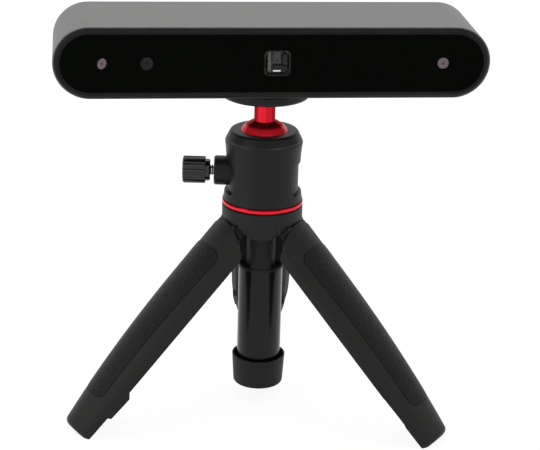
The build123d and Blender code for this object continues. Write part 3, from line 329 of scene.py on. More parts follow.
class ScannerColours(bpy.types.PropertyGroup):
    """Colours that a user may change."""

    sleeve: FloatVectorProperty(
        name="Sleeve", description="Anodised sleeve of the scanner", subtype="COLOR",
        size=3, min=0, max=1, default=(0.1195, 0.122, 0.118))
    bezel: FloatVectorProperty(
        name="Bezel", description="Frames at the front and back of the sleeve", subtype="COLOR",
        size=3, min=0, max=1, default=(0.0075, 0.0083, 0.0075))
    glass: FloatVectorProperty(
        name="Front glass", description="Black window over the cameras", subtype="COLOR",
        size=3, min=0, max=1, default=(0.0013, 0.0018, 0.0012))
    accent: FloatVectorProperty(
        name="Accent", description="Anodised ball, stem and ring", subtype="COLOR",
        size=3, min=0, max=1, default=(0.78, 0.018, 0.032))
    metal: FloatVectorProperty(
        name="Painted metal", description="Ball head and mount plate", subtype="COLOR",
        size=3, min=0, max=1, default=(0.0076, 0.0086, 0.0077))
    plastic: FloatVectorProperty(
        name="Leg plastic", description="Legs and hub", subtype="COLOR",
        size=3, min=0, max=1, default=(0.0076, 0.0083, 0.0071))
    rubber: FloatVectorProperty(
        name="Rubber", description="Grips, feet, pad and end cap", subtype="COLOR",
        size=3, min=0, max=1, default=(0.0052, 0.0058, 0.005))


class ScannerStudio(bpy.types.PropertyGroup):
    """Camera and light, with the camera's place given from the scanner's middle."""

    distance: FloatProperty(
        name="Distance", description="From the aim point to the camera", unit="LENGTH", default=0.6679)
    azimuth: FloatProperty(
        name="Azimuth", description="Camera's turn about the object, to the left if negative",
        subtype="ANGLE", default=math.radians(-6.62))
    elevation: FloatProperty(
        name="Elevation", description="Camera's height above the horizon", subtype="ANGLE",
        default=math.radians(20.58))
    roll: FloatProperty(
        name="Roll", description="Camera's turn about its own line of sight", subtype="ANGLE",
        default=math.radians(1.66))
    aim_right: FloatProperty(
        name="Aim right", description="Aim point right of the scanner's middle", unit="LENGTH",
        default=0.00241)
    aim_down: FloatProperty(
        name="Aim down", description="Aim point below the scanner's middle", unit="LENGTH", default=0.06795)
    focal: FloatProperty(
        name="Focal length", description="For a 36 mm wide picture", default=118.8)
    key_power: FloatProperty(
        name="Top light", description="Power of the softbox overhead", unit="POWER", default=3.6)
    fill_power: FloatProperty(
        name="Side light", description="Power of the left softbox", unit="POWER", default=2.2)
    front_level: FloatProperty(
        name="Front level", description="Brightness of the room in front", default=0.14)
    side_level: FloatProperty(
        name="Side level", description="Brightness added at both sides", default=0.75)
    horizon_level: FloatProperty(
        name="Horizon level", description="Brightness added low all round", default=0.35)
    back_level: FloatProperty(
        name="Back level", description="Brightness added behind", default=0.7)
    top_level: FloatProperty(
        name="Top level", description="Brightness added overhead", default=0.45)
    shadow: FloatProperty(
        name="Shadow", description="Share of the floor that is lit, with its shadow", subtype="FACTOR",
        default=0.14)


class ScannerBuild(bpy.types.PropertyGroup):
    """Rounding and smoothing of the pieces."""

    edge: FloatProperty(
        name="Edge radius", description="Rounding of moulded and machined edges", unit="LENGTH",
        default=0.00025)
    edge_steps: IntProperty(
        name="Edge steps", description="Segments in a rounded edge", default=2, min=1)
    merge: FloatProperty(
        name="Merge distance", description="Points of a copied solid that become one", unit="LENGTH",
        default=0.000004)
    smooth_below: FloatProperty(
        name="Smooth below", description="Steeper edges than this stay sharp", subtype="ANGLE",
        default=math.radians(32))


def colours():
    return bpy.context.scene.scanner_colours


def sizes():
    return bpy.context.scene.scanner_build


# Finishes of the scanner

def anodised_sleeve():
    """Grey anodising with wear and a painted highlight along the upper edges, and painted shade at the lip
    of the underside.
    """
    paint = Paint("anodised_sleeve")
    colour = tuple(colours().sleeve)
    cloud = paint.noise(9 * MM, detail=3)
    grain = paint.noise(0.12 * MM, detail=1)
    upper_highlight_half = paint.height().above(SCANNER_MIDDLE.z, UPPER_HIGHLIGHT_FADE)
    underside_shade = paint.height().above(SHADED_LIP_START, SHADED_LIP_FADE)
    tone = paint.blend(cloud, shade(colour, 0.98), shade(colour, 1.02))
    # Wear and a painted highlight along the edges of the upper half only, where the light falls
    tone = paint.blend(paint.wear_and_edge_highlight(4 * MM, 0.6) * upper_highlight_half, tone, shade(colour, 1.9))
    # Painted shade: the lip at the underside is made almost black
    tone = paint.blend(underside_shade, shade(colour, 0.12), tone)
    paint.bump(grain, depth=0.01 * MM, strength=0.35)
    return paint.finish(tone, roughness=0.46 + 0.06 * cloud, metallic=0.45)


def bezel_finish():
    """Satin black of the frames at the front and back, with wear and a painted highlight along the edges.
    """
    paint = Paint("bezel_black")
    colour = tuple(colours().bezel)
    grain = paint.noise(0.2 * MM, detail=1)
    cloud = paint.noise(14 * MM)
    tone = paint.blend(cloud, shade(colour, 0.9), shade(colour, 1.1))
    # Wear and a painted highlight along the edges
    tone = paint.blend(paint.wear_and_edge_highlight(6 * MM, 0.5), tone, shade(colour, 3.0))
    paint.bump(grain, depth=0.006 * MM, strength=0.3)
    return paint.finish(tone, roughness=0.36 + 0.08 * cloud, Specular_IOR_Level=0.1)


def front_glass():
    """Polished black glass with faint smears."""
    paint = Paint("black_front_glass")
    colour = tuple(colours().glass)
    smear = paint.noise(22 * MM, detail=4, stretch=(3, 1, 1))
    tone = paint.blend(smear, shade(colour, 0.8), shade(colour, 1.3))
    return paint.finish(tone, roughness=0.04 + 0.05 * smear, Specular_IOR_Level=0.015)


def painted_reflection_filter(name, node, tint, pupil, leaf):
    """Filter over a camera: its tint, a painted reflection, fills a disc, or a leaf between two arcs, round
    a painted dark pupil.
    """
    paint = Paint(name)
    centre = centre_of(node)
    across = Vector((math.cos(LEAF_LEAN), 0, -math.sin(LEAF_LEAN))) * leaf
    # Painted reflection: the tint fills the leaf where two discs overlap
    reflection_leaf = 1.0
    for side in (across, -across):
        reflection_leaf = (1 - paint.from_axis(centre + side).above(REFLECTION_RADIUS, REFLECTION_FADE)) * reflection_leaf
    # Painted shade: a dark pupil in the middle
    ring = paint.from_axis(centre).above(pupil, FILTER_PUPIL_FADE)
    speck = paint.noise(0.8 * MM)
    lit = paint.blend(speck, shade(tint, 0.9), shade(tint, 1.15))
    lit = paint.blend(ring, shade(tint, 0.4), lit)
    tone = paint.blend(reflection_leaf, tuple(colours().glass), lit)
    return paint.finish(tone, roughness=0.06 + 0.05 * speck, Specular_IOR_Level=0.1)


def clear_filter():
    """Projector's window, with a painted highlight on its rounded rim."""
    paint = Paint("clear_filter")
    rim = paint.rounded()
    smear = paint.noise(3 * MM)
    # Painted highlight on the rounded rim, which is also less clear
    tone = paint.blend(rim, (0.004, 0.005, 0.004), (0.05, 0.05, 0.045))
    return paint.finish(
        tone, roughness=0.05 + 0.04 * smear, Alpha=0.12 + 0.6 * rim, Specular_IOR_Level=0.1)


def lens_coating(name, node, tint, pupil):
    """A coated lens, its coating made bright as a painted reflection, with a painted dark pupil and painted
    shade towards its rim at a slant.
    """
    paint = Paint(name)
    outside_painted_pupil = paint.from_axis(centre_of(node)).above(pupil, LENS_PUPIL_FADE)
    # Painted shade towards the rim at a slant, and a painted dark pupil
    tone = paint.blend(paint.facing(0.35), tint, shade(tint, 0.35))
    tone = paint.blend(outside_painted_pupil, shade(tint, 0.3), tone)
    return paint.finish(tone, roughness=0.1, metallic=0.3, Coat_Weight=0.6)


# Finishes of the ball head

def red_anodised(name, reflection_streaks, shade_outside, low, high, fade):
    """Dyed aluminium with darker painted reflection streaks, deeper dye and painted shade along the
    silhouettes at a slant, a painted highlight band from low to high, and painted shade outside it.
    """
    paint = Paint(name)
    colour = tuple(colours().accent)
    turning = paint.noise(0.25 * MM, stretch=(30, 30, 1))
    cloud = paint.noise(8 * MM)
    streak = paint.noise(1.6 * MM, detail=1, stretch=(1, 1, 60)).above(0.45, 0.1)
    height = paint.height()
    highlight_band = height.above(low - fade, fade) * (1 - height.above(high, fade))
    tone = paint.blend(cloud, shade(colour, 0.92), shade(colour, 1.06))
    # Painted reflection streaks, darker between the bright ones
    tone = paint.blend(streak * reflection_streaks, tone, shade(colour, 0.45))
    # Deeper dye and painted shade along the silhouettes, at a slant
    tone = paint.blend(paint.facing(0.5).above(0.15, 0.5), tone, shade(colour, 0.14))
    # Painted shade outside the band
    tone = paint.blend((1 - highlight_band) * shade_outside, tone, shade(colour, 0.12))
    # Painted highlight band
    tone = paint.blend(highlight_band * 0.8, tone, shade(colour, 1.2))
    paint.bump(turning, depth=0.003 * MM, strength=0.35)
    return paint.finish(
        tone, roughness=0.15 + 0.06 * turning, metallic=0.82 - 0.65 * highlight_band,
        Specular_Tint=(1.0, 0.12, 0.16, 1.0))


def satin_black(name):
    """Satin black paint with wear and a painted highlight on its edges: the paint, its tone, its clouds and
    its grain.
    """
    paint = Paint(name)
    colour = tuple(colours().metal)
    grain = paint.noise(0.22 * MM, detail=2)
    cloud = paint.noise(12 * MM)
    tone = paint.blend(cloud, shade(colour, 0.92), shade(colour, 1.1))
    # Wear and a painted highlight along the edges
    tone = paint.blend(paint.wear_and_edge_highlight(3 * MM, 0.45), tone, shade(colour, 4.0))
    paint.bump(grain, depth=0.02 * MM, strength=0.45)
    return paint, tone, cloud, grain


def satin_metal():
    """Satin black of the mount plate and the base plug."""
    paint, tone, _, grain = satin_black("satin_black_metal")
    return paint.finish(tone, roughness=0.36 + 0.1 * grain, Specular_IOR_Level=0.17)


def housing_finish():
    """Satin black with a painted highlight line at the shoulder, painted shade on the slope over it and a
    speckled top made lighter as painted light.
    """
    paint, tone, cloud, grain = satin_black("housing_black")
    colour = tuple(colours().metal)
    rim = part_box("head_housing")[1].z
    shoulder = rim - SHOULDER_DROP
    height = paint.height()
    shaded_slope = height.above(shoulder, SLOPE_SHADE_FADE)
    top = height.above(rim - LIT_TOP_DEPTH, LIT_TOP_FADE)
    highlight_line = (1 - abs(height - shoulder).above(HIGHLIGHT_LINE_WIDTH, HIGHLIGHT_LINE_FADE)) * cloud.above(0.35, 0.3)
    # Painted shade on the slope between the shoulder and the top
    tone = paint.blend(shaded_slope, tone, shade(colour, 0.4))
    # Painted light: the flat top is made lighter, with speckles
    tone = paint.blend(top, tone, paint.blend(grain, shade(colour, 1.3), shade(colour, 3.4)))
    # Painted highlight line round the shoulder
    tone = paint.blend(highlight_line * 0.8, tone, shade(colour, 8.0))
    return paint.finish(tone, roughness=0.36 + 0.1 * grain, Specular_IOR_Level=0.17)


def knob_finish():
    """Glossier black of the fluted knob, pale on its ribs with wear and a painted highlight."""
    paint = Paint("knob_black")
    colour = tuple(colours().metal)
    grain = paint.noise(0.3 * MM, detail=2)
    # Ribs: wear and a strong painted highlight over a very dark body
    tone = paint.blend(paint.wear_and_edge_highlight(1.5 * MM, 0.95), shade(colour, 0.12), shade(colour, 19.0))
    paint.bump(grain, depth=0.01 * MM, strength=0.4)
    return paint.finish(tone, roughness=0.1 + 0.06 * grain, Specular_IOR_Level=0.55)


def threaded_steel():
    """Steel screw along the scanner's width, with painted shade in the grooves of its thread."""
    paint = Paint("threaded_steel")
    grain = paint.noise(0.2 * MM, detail=2)
    turn = paint.along(paint.place, "X") * (math.tau / THREAD_PITCH)
    crest = turn.sine().above(-0.6, 1.0)
    # Painted shade: the grooves between the crests are made dark
    tone = paint.blend(crest, (0.05, 0.05, 0.05), (0.6, 0.6, 0.58))
    paint.bump(crest, depth=0.15 * MM, strength=0.8)
    return paint.finish(tone, roughness=0.2 + 0.1 * grain, metallic=1.0)


# Finishes of the tripod

def leg_plastic():
    """Fine grained black plastic, scuffed and with a painted highlight along its edges."""
    paint = Paint("grained_black_plastic")
    colour = tuple(colours().plastic)
    grain = paint.noise(0.3 * MM, detail=3, roughness=0.7)
    cloud = paint.noise(18 * MM)
    tone = paint.blend(cloud, shade(colour, 0.95), shade(colour, 1.25))
    # Wear and a painted highlight along the edges
    tone = paint.blend(paint.wear_and_edge_highlight(4 * MM, 0.5), tone, shade(colour, 3.5))
    paint.bump(grain, depth=0.03 * MM, strength=0.5)
    return paint.finish(tone, roughness=0.44 + 0.12 * grain, Specular_IOR_Level=0.2)


def grip_rubber():
    """Pebbled rubber with sparse painted glints, and wear with a painted highlight along its edges."""
    paint = Paint("pebbled_grip_rubber")
    colour = tuple(colours().rubber)
    pebble = paint.cells(0.65 * MM, "SMOOTH_F1")
    grain = paint.noise(0.3 * MM, detail=2)
    cloud = paint.noise(15 * MM)
    glint = paint.noise(0.32 * MM, detail=2).above(0.62, 0.06)
    tone = paint.blend(cloud, shade(colour, 0.7), shade(colour, 1.05))
    # Wear and a painted highlight along the edges
    tone = paint.blend(paint.wear_and_edge_highlight(2 * MM, 0.6), tone, shade(colour, 6.0))
    # Painted glints on the pebbles
    tone = paint.blend(glint * 0.6, tone, shade(colour, 12.0))
    paint.bump(pebble * 0.9 + grain * 0.35, depth=0.24 * MM, strength=1.0)
    return paint.finish(tone, roughness=0.36 + 0.2 * grain, Specular_IOR_Level=0.13)


def smooth_rubber():
    """Plain black rubber, a little dusty, with wear and a painted highlight along its edges."""
    paint = Paint("smooth_black_rubber")
    colour = tuple(colours().rubber)
    grain = paint.noise(0.2 * MM, detail=2)
    dust = paint.noise(6 * MM, detail=4)
    tone = paint.blend(dust, shade(colour, 0.9), shade(colour, 1.4))
    # Wear and a painted highlight along the edges
    tone = paint.blend(paint.wear_and_edge_highlight(3 * MM, 0.4), tone, shade(colour, 3.0))
    paint.bump(grain, depth=0.02 * MM, strength=0.4)
    return paint.finish(tone, roughness=0.5 + 0.15 * dust, Specular_IOR_Level=0.22)


def tube_finish():
    """Glossy black anodising with faint upright streaks, and wear with a painted highlight along its edges.
    """
    paint = Paint("black_anodised_tube")
    colour = tuple(colours().metal)
    streak = paint.noise(0.3 * MM, stretch=(1, 1, 60))
    tone = paint.blend(streak, shade(colour, 0.5), shade(colour, 0.75))
    # Wear and a painted highlight along the edges
    tone = paint.blend(paint.wear_and_edge_highlight(3 * MM), tone, shade(colour, 9.0))
    paint.bump(streak, depth=0.004 * MM, strength=0.3)
    return paint.finish(tone, roughness=0.16 + 0.08 * streak, Specular_IOR_Level=0.22)


# Finishes of the small and inner pieces

def mottled(name, size, dark, light, smooth, rough, metallic=0.0, detail=2, relief=None, **others):
    """A finish between two shades and two roughnesses, with a relief of a depth and a strength."""
    paint = Paint(name)
    grain = paint.noise(size, detail=detail)
    if relief:
        paint.bump(grain, *relief)
    tone = paint.blend(grain, dark, light)
    return paint.finish(tone, smooth + (rough - smooth) * grain, metallic, **others)


def turned_steel():
    return mottled(
        "turned_steel", 0.2 * MM, (0.42, 0.42, 0.41), (0.56, 0.56, 0.55), 0.24, 0.36, metallic=1.0)


def blackened_steel():
    return mottled(
        "blackened_steel", 0.2 * MM, (0.012, 0.012, 0.012), (0.02, 0.02, 0.02), 0.35, 0.45, metallic=0.6)


def turned_brass():
    return mottled(
        "turned_brass", 0.3 * MM, (0.52, 0.36, 0.13), (0.62, 0.44, 0.18), 0.28, 0.4, metallic=1.0)


def cast_aluminium():
    return mottled(
        "cast_aluminium", 0.4 * MM, (0.42, 0.43, 0.44), (0.55, 0.56, 0.57), 0.38, 0.53, metallic=0.9,
        detail=3, relief=(0.03 * MM, 0.4))


def camera_plastic():
    return mottled(
        "camera_plastic", 0.25 * MM, (0.012, 0.012, 0.012), (0.02, 0.02, 0.02), 0.5, 0.6,
        relief=(0.02 * MM, 0.4))


def bush_plastic():
    return mottled("bush_plastic", 0.3 * MM, (0.05, 0.05, 0.05), (0.075, 0.075, 0.075), 0.42, 0.52)


def light_pipe():
    return mottled(
        "light_pipe", 0.4 * MM, (0.55, 0.6, 0.62), (0.66, 0.7, 0.72), 0.25, 0.35, Coat_Weight=0.3)


def white_diffuser_with_painted_glow():
    # Painted light: the diffuser glows though it is no lamp
    return mottled(
        "white_diffuser_with_painted_glow", 0.4 * MM, (0.8, 0.8, 0.78), (0.9, 0.9, 0.88), 0.4, 0.5,
        Emission_Color=(1, 1, 0.97, 1), Emission_Strength=0.4)


def frosted_strip():
    """Mirror strip at the side of the projector's opening."""
    paint = Paint("frosted_strip")
    frost = paint.noise(0.6 * MM, detail=3).above(0.4, 0.3)
    tone = paint.blend(frost, (0.15, 0.15, 0.135), (0.34, 0.34, 0.31))
    return paint.finish(tone, roughness=0.35 + 0.1 * frost, metallic=0.3)


def circuit_board():
    """Solder mask in patches, with lighter lines between them."""
    paint = Paint("circuit_board")
    traces = paint.cells(2.2 * MM, "DISTANCE_TO_EDGE").above(0.04, 0.02)
    return paint.finish(paint.blend(traces, (0.02, 0.11, 0.05), (0.008, 0.05, 0.022)), roughness=0.35)


# Working with copies of the solids

def merged_copy(node):
    """A CAD node's triangles as a bmesh with its points merged and its flat faces joined."""
    mesh = bmesh.new()
    mesh.from_mesh(frame["nodes"][node].data)
    bmesh.ops.remove_doubles(mesh, verts=mesh.verts, dist=sizes().merge)
    bmesh.ops.dissolve_limit(
        mesh, angle_limit=FLAT, verts=mesh.verts, edges=mesh.edges, delimit={"NORMAL"})
    return mesh


def round_edges(mesh, radius, steeper_than=STEEP):
    """Rounds the outer edges of a closed mesh, and marks the rounded faces for the wear and painted edge
    highlight.
    """
    mark = mesh.loops.layers.float.new(EDGE_LAYER)
    edges = [edge for edge in mesh.edges
             if edge.is_manifold and edge.is_convex and edge.calc_face_angle(0) > steeper_than]
    if not edges:
        return
    rounded = bmesh.ops.bevel(
        mesh, geom=edges, offset=radius, offset_type="OFFSET", segments=sizes().edge_steps, profile=0.5,
        affect="EDGES", clamp_overlap=True, material=-1)
    for face in rounded["faces"]:
        for loop in face.loops:
            loop[mark] = 1.0


def shade_smooth(mesh):
    for face in mesh.faces:
        face.smooth = True
    for edge in mesh.edges:
        edge.smooth = not (edge.is_manifold and edge.calc_face_angle(0) > sizes().smooth_below)


def as_piece(mesh, name, material, body, nodes=()):
    """Makes a bmesh an object that rides on a body and stands for the given nodes."""
    data = bpy.data.meshes.new(name)
    mesh.normal_update()
    mesh.to_mesh(data)
    mesh.free()
    data.materials.append(material)
    piece = bpy.data.objects.new(name, data)
    bpy.context.scene.collection.objects.link(piece)
    even = piece.modifiers.new("even_shading", "WEIGHTED_NORMAL")
    even.keep_sharp = True
    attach(piece, body)
    if nodes:
        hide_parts(*nodes)


def body_of(node):
    for body, members in frame["record"]["behaviour"]["bodies"].items():
        if node in members:
            return body
    raise ValueError(f"{node} has no body")


def polish(node, material, radius=None, steeper_than=STEEP):
    """A copy of a CAD node with rounded edges and smooth shading, which stands for the node."""
    mesh = merged_copy(node)
    round_edges(mesh, sizes().edge if radius is None else radius, steeper_than)
    shade_smooth(mesh)
    as_piece(mesh, node + "_finished", material, body_of(node), (node,))


def projector_part(name, material, bars):
    """Bars behind the projector's window, as one piece of its own."""
    low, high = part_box("projector_window")
    middle = (low + high) / 2
    front = high.y + MASK_BEHIND_WINDOW
    mesh = bmesh.new()
    for left, bottom, right, top, rise in bars:
        near = Vector((middle.x + left * MM, front - rise * MM, middle.z + bottom * MM))
        far = Vector((middle.x + right * MM, front + MASK_THICKNESS, middle.z + top * MM))
        place = Matrix.LocRotScale((near + far) / 2, None, far - near)
        bmesh.ops.create_cube(mesh, size=1.0, matrix=place)
    round_edges(mesh, SHARP_EDGE)
    shade_smooth(mesh)
    as_piece(mesh, name, material, "scanner")


class SCANNER_OT_sleeve(bpy.types.Operator):
    """Sleeve, front bezel and rear cover"""
    bl_idname = "scanner.sleeve"
    bl_label = "Sleeve and covers"
    bl_options = {"REGISTER", "UNDO"}

    def execute(self, context):
        polish("scanner_shell", anodised_sleeve())
        bezel = bezel_finish()
        polish("front_bezel", bezel)
        polish("rear_cover", bezel)
        return {"FINISHED"}


class SCANNER_OT_windows(bpy.types.Operator):
    """Black front glass and the small windows in it"""
    bl_idname = "scanner.windows"
    bl_label = "Windows"
    bl_options = {"REGISTER", "UNDO"}

    def execute(self, context):
        polish("front_window", front_glass(), FINE_EDGE)
        for node, tint, pupil, leaf in CAMERA_FILTERS:
            polish(node, painted_reflection_filter(node + "_coating", node, tint, pupil, leaf), FINE_EDGE)
        polish("projector_window", clear_filter(), BROAD_EDGE)
        return {"FINISHED"}


class SCANNER_OT_optics(bpy.types.Operator):
    """Cameras and projector, their lenses, and the projector's mask, mirror strip and diffuser"""
    bl_idname = "scanner.optics"
    bl_label = "Cameras and projector"
    bl_options = {"REGISTER", "UNDO"}

    def execute(self, context):
        barrel = camera_plastic()
        for node in ("left_infrared_camera", "right_infrared_camera", "colour_camera", "projector_body"):
            polish(node, barrel, TURNED_EDGE)
        for node, tint, pupil in LENSES:
            polish(node, lens_coating(node + "_coating", node, tint, pupil), HAIR_EDGE)
        projector_part("projector_mask", barrel, MASK_BARS)
        projector_part("projector_side_panel", barrel, (SIDE_PANEL,))
        projector_part("projector_mirror_strip", frosted_strip(), (MIRROR_STRIP,))
        projector_part("projector_diffuser", white_diffuser_with_painted_glow(), (DIFFUSER_BAR,))
        return {"FINISHED"}


class SCANNER_OT_inside(bpy.types.Operator):
    """Bench, heat sink, board and its screws"""
    bl_idname = "scanner.inside"
    bl_label = "Inside"
    bl_options = {"REGISTER", "UNDO"}

    def execute(self, context):
        cast = cast_aluminium()
        polish("optical_bench", cast)
        polish("heat_sink", cast, FINE_EDGE)
        polish("main_board", circuit_board(), FINE_EDGE)
        polish("board_screws", turned_steel(), FINE_EDGE)
        return {"FINISHED"}


class SCANNER_OT_controls(bpy.types.Operator):
    """Button, light, socket and screws at the back"""
    bl_idname = "scanner.controls"
    bl_label = "Rear controls"
    bl_options = {"REGISTER", "UNDO"}

    def execute(self, context):
        steel = turned_steel()
        polish("cover_screws", steel, SCREW_EDGE)
        polish("usb_socket", steel, HAIR_EDGE)
        polish("power_button", bush_plastic(), FINE_EDGE)
        polish("button_switch", camera_plastic(), FINE_EDGE)
        polish("status_light", light_pipe(), FINE_EDGE)
        return {"FINISHED"}


class SCANNER_OT_mount(bpy.types.Operator):
    """Mount plate, its pad, the stud and the bush it screws into"""
    bl_idname = "scanner.mount"
    bl_label = "Mount plate"
    bl_options = {"REGISTER", "UNDO"}

    def execute(self, context):
        polish("mount_plate", satin_metal())
        polish("plate_pad", smooth_rubber(), TURNED_EDGE)
        polish("mount_stud", turned_steel(), TURNED_EDGE)
        polish("tripod_bush", turned_brass(), TURNED_EDGE)
        return {"FINISHED"}


class SCANNER_OT_ball_head(bpy.types.Operator):
    """Ball, ring, housing and what is inside"""
    bl_idname = "scanner.ball_head"
    bl_label = "Ball head"
    bl_options = {"REGISTER", "UNDO"}

    def execute(self, context):
        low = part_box("head_housing")[1].z - HIGHLIGHT_BAND_DROP
        # Ball: painted reflection streaks and a painted highlight band low on it
        ball = red_anodised(
            "red_ball", reflection_streaks=0.55, shade_outside=0.0, low=low, high=low + HIGHLIGHT_BAND_HEIGHT, fade=HIGHLIGHT_BAND_FADE)
        polish("ball_and_stem", ball, TURNED_EDGE)
        # Ring: a painted highlight line with painted shade above and below it
        foot, top = (corner.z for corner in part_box("trim_ring"))
        low = foot + RING_HIGHLIGHT_START * (top - foot)
        highlight_line = RING_HIGHLIGHT_HEIGHT * (top - foot)
        ring = red_anodised("red_ring", reflection_streaks=0.0, shade_outside=1.0, low=low, high=low + highlight_line, fade=highlight_line)
        polish("trim_ring", ring, RING_EDGE)
        polish("head_housing", housing_finish(), BROAD_EDGE, HOUSING_STEEP)
        polish("base_plug", satin_metal())
        liner = bush_plastic()
        polish("ball_seat", liner, FINE_EDGE)
        polish("pressure_block", liner)
        return {"FINISHED"}


class SCANNER_OT_clamp(bpy.types.Operator):
    """Clamp screw and its fluted knob"""
    bl_idname = "scanner.clamp"
    bl_label = "Clamp"
    bl_options = {"REGISTER", "UNDO"}

    def execute(self, context):
        polish("clamp_screw", threaded_steel(), SHARP_EDGE)
        polish("clamp_knob", knob_finish())
        return {"FINISHED"}


class SCANNER_OT_hub(bpy.types.Operator):
    """Leg hub and hinge pins"""
    bl_idname = "scanner.hub"
    bl_label = "Leg hub"
    bl_options = {"REGISTER", "UNDO"}

    def execute(self, context):
        polish("leg_hub", leg_plastic())
        steel = blackened_steel()
        for index in (1, 2, 3):
            polish(f"hinge_pin_{index}", steel, TURNED_EDGE)
        return {"FINISHED"}


class SCANNER_OT_legs(bpy.types.Operator):
    """Legs, grips and foot pads"""
    bl_idname = "scanner.legs"
    bl_label = "Legs"
    bl_options = {"REGISTER", "UNDO"}

    def execute(self, context):
        plastic = leg_plastic()
        grip = grip_rubber()
        sole = smooth_rubber()
        for index in (1, 2, 3):
            polish(f"leg_{index}", plastic, BROAD_EDGE)
            polish(f"grip_{index}", grip)
            polish(f"foot_pad_{index}", sole, SOLE_EDGE)
        return {"FINISHED"}


class SCANNER_OT_column(bpy.types.Operator):
    """Centre tube, end cap and telescoping pole"""
    bl_idname = "scanner.column"
    bl_label = "Column"
    bl_options = {"REGISTER", "UNDO"}

    def execute(self, context):
        tube = tube_finish()
        liner = bush_plastic()
        polish("centre_tube", tube, TURNED_EDGE)
        polish("tube_end_cap", smooth_rubber())
        for node in ("pole_middle", "pole_inner"):
            polish(node, tube, TURNED_EDGE)
        for node in ("pole_middle_bush", "pole_inner_bush"):
            polish(node, liner, TURNED_EDGE)
        return {"FINISHED"}


# Stage

def floor_material(shadow):
    """A pale floor that shows white to the camera, in reflections and through glass, with a soft shadow."""
    paint = Paint("pale_floor")
    cloud = paint.noise(200 * MM)
    paint.finish(paint.blend(cloud, (0.88, 0.88, 0.88), (0.9, 0.9, 0.9)), roughness=0.7)
    lit = Signal(paint, paint.shader.outputs[0])
    white = paint.node("ShaderNodeEmission", {}, {"Color": (1, 1, 1, 1), "Strength": WHITE})
    surface = paint.node("ShaderNodeMixShader", {}, {0: paint.seen_rays() * (1 - shadow), 1: lit, 2: white})
    paint.feed(paint.tree.nodes["Material Output"].inputs["Surface"], surface)
    return paint.material


def softbox(name, shape, power):
    """A rectangular light that faces the tripod's axis at the scanner's height."""
    place, width, height = shape
    axis = centre_of("centre_tube")
    offset = Vector(place)
    light = bpy.data.lights.new(name, "AREA")
    light.shape = "RECTANGLE"
    light.size = width
    light.size_y = height
    light.energy = power
    lamp = bpy.data.objects.new(name, light)
    lamp.location = Vector((axis.x, axis.y, SCANNER_MIDDLE.z)) + offset
    lamp.rotation_mode = "QUATERNION"
    lamp.rotation_quaternion = (-offset).to_track_quat("-Z", "Y")
    bpy.context.scene.collection.objects.link(lamp)


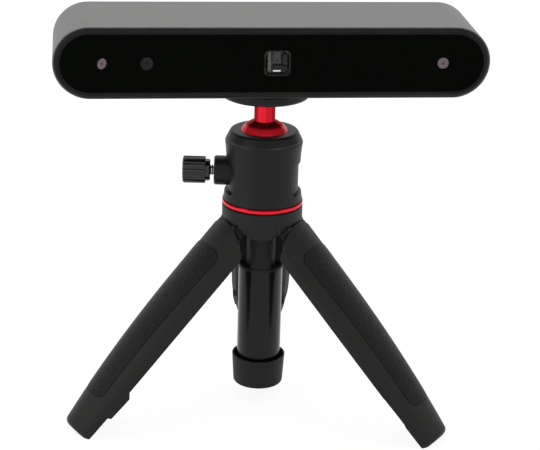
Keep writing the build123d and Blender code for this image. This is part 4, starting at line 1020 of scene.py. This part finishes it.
class SCANNER_OT_stage(bpy.types.Operator):
    """Floor, lights, world and camera"""
    bl_idname = "scanner.stage"
    bl_label = "Stage"
    bl_options = {"REGISTER", "UNDO"}

    def execute(self, context):
        scene = context.scene
        studio = scene.scanner_studio
        scene.view_settings.view_transform = "Standard"
        self.add_floor(scene, studio)
        softbox("top_softbox", TOP_SOFTBOX, studio.key_power)
        softbox("left_softbox", LEFT_SOFTBOX, studio.fill_power)
        softbox("right_softbox", RIGHT_SOFTBOX, studio.fill_power * RIGHT_SHARE)
        self.add_world(scene, studio)
        self.add_camera(scene, studio)
        return {"FINISHED"}

    def add_floor(self, scene, studio):
        mesh = bmesh.new()
        bmesh.ops.create_circle(mesh, cap_ends=True, segments=FLOOR_SIDES, radius=FLOOR_RADIUS)
        data = bpy.data.meshes.new("floor")
        mesh.to_mesh(data)
        mesh.free()
        data.materials.append(floor_material(studio.shadow))
        floor = bpy.data.objects.new("floor", data)
        scene.collection.objects.link(floor)

    def add_world(self, scene, studio):
        """White where it shows. It lights the object from the sides, top and back, and dimly in front."""
        world = bpy.data.worlds.new("studio_world")
        world.use_nodes = True
        scene.world = world
        sky = NodeBuilder(world.node_tree)
        direction = sky.node("ShaderNodeTexCoord", output="Generated")
        side = abs(sky.along(direction, "X")).above(*SIDE_LIGHT)
        back = sky.along(direction, "Y").above(*BACK_LIGHT)
        height = sky.along(direction, "Z")
        top = height.above(*TOP_LIGHT)
        horizon = 1 - height.above(*HORIZON_LIGHT)
        level = studio.front_level + side * studio.side_level + top * studio.top_level
        level = level + back * studio.back_level + horizon * studio.horizon_level
        seen = sky.seen_rays()
        background = world.node_tree.nodes["Background"]
        background.inputs["Color"].default_value = (1, 1, 1, 1)
        sky.feed(background.inputs["Strength"], level * (1 - seen) + seen)

    def add_camera(self, scene, studio):
        aim = SCANNER_MIDDLE + Vector((studio.aim_right, 0, -studio.aim_down))
        turn, lift, roll = studio.azimuth, studio.elevation, studio.roll
        back = Vector((math.sin(turn) * math.cos(lift), -math.cos(turn) * math.cos(lift), math.sin(lift)))
        right = (-back).cross(Vector((0, 0, 1))).normalized()
        up = right.cross(-back)
        side = right * math.cos(roll) + up * math.sin(roll)
        head = up * math.cos(roll) - right * math.sin(roll)
        place = Matrix((side, head, back)).transposed().to_4x4()
        place.translation = aim + back * studio.distance
        lens = bpy.data.cameras.new("camera")
        lens.sensor_width = SENSOR_WIDTH
        lens.lens = studio.focal
        lens.clip_start = NEAREST
        lens.clip_end = FARTHEST
        camera = bpy.data.objects.new("camera", lens)
        camera.matrix_world = place
        scene.collection.objects.link(camera)
        scene.camera = camera


OPERATORS = (
    SCANNER_OT_sleeve, SCANNER_OT_windows, SCANNER_OT_optics, SCANNER_OT_inside, SCANNER_OT_controls,
    SCANNER_OT_mount, SCANNER_OT_ball_head, SCANNER_OT_clamp, SCANNER_OT_hub, SCANNER_OT_legs,
    SCANNER_OT_column, SCANNER_OT_stage)


class SCANNER_PT_dresser(bpy.types.Panel):
    """Lists the operators and the values that they use"""
    bl_idname = "SCANNER_PT_dresser"
    bl_label = "Scanner"
    bl_space_type = "VIEW_3D"
    bl_region_type = "UI"
    bl_category = "Scanner"

    def draw(self, context):
        scene = context.scene
        for operator in OPERATORS:
            self.layout.operator(operator.bl_idname)
        for group in (scene.scanner_colours, scene.scanner_studio, scene.scanner_build):
            box = self.layout.box()
            for name in group.__annotations__:
                box.prop(group, name)


CLASSES = (ScannerColours, ScannerStudio, ScannerBuild, *OPERATORS, SCANNER_PT_dresser)


def register():
    for each in CLASSES:
        bpy.utils.register_class(each)
    bpy.types.Scene.scanner_colours = PointerProperty(type=ScannerColours)
    bpy.types.Scene.scanner_studio = PointerProperty(type=ScannerStudio)
    bpy.types.Scene.scanner_build = PointerProperty(type=ScannerBuild)


def unregister():
    del bpy.types.Scene.scanner_build
    del bpy.types.Scene.scanner_studio
    del bpy.types.Scene.scanner_colours
    for each in reversed(CLASSES):
        bpy.utils.unregister_class(each)


def main():
    register()
    for operator in OPERATORS:
        group, name = operator.bl_idname.split(".")
        getattr(getattr(bpy.ops, group), name)()


if __name__ == "__main__":
    main()
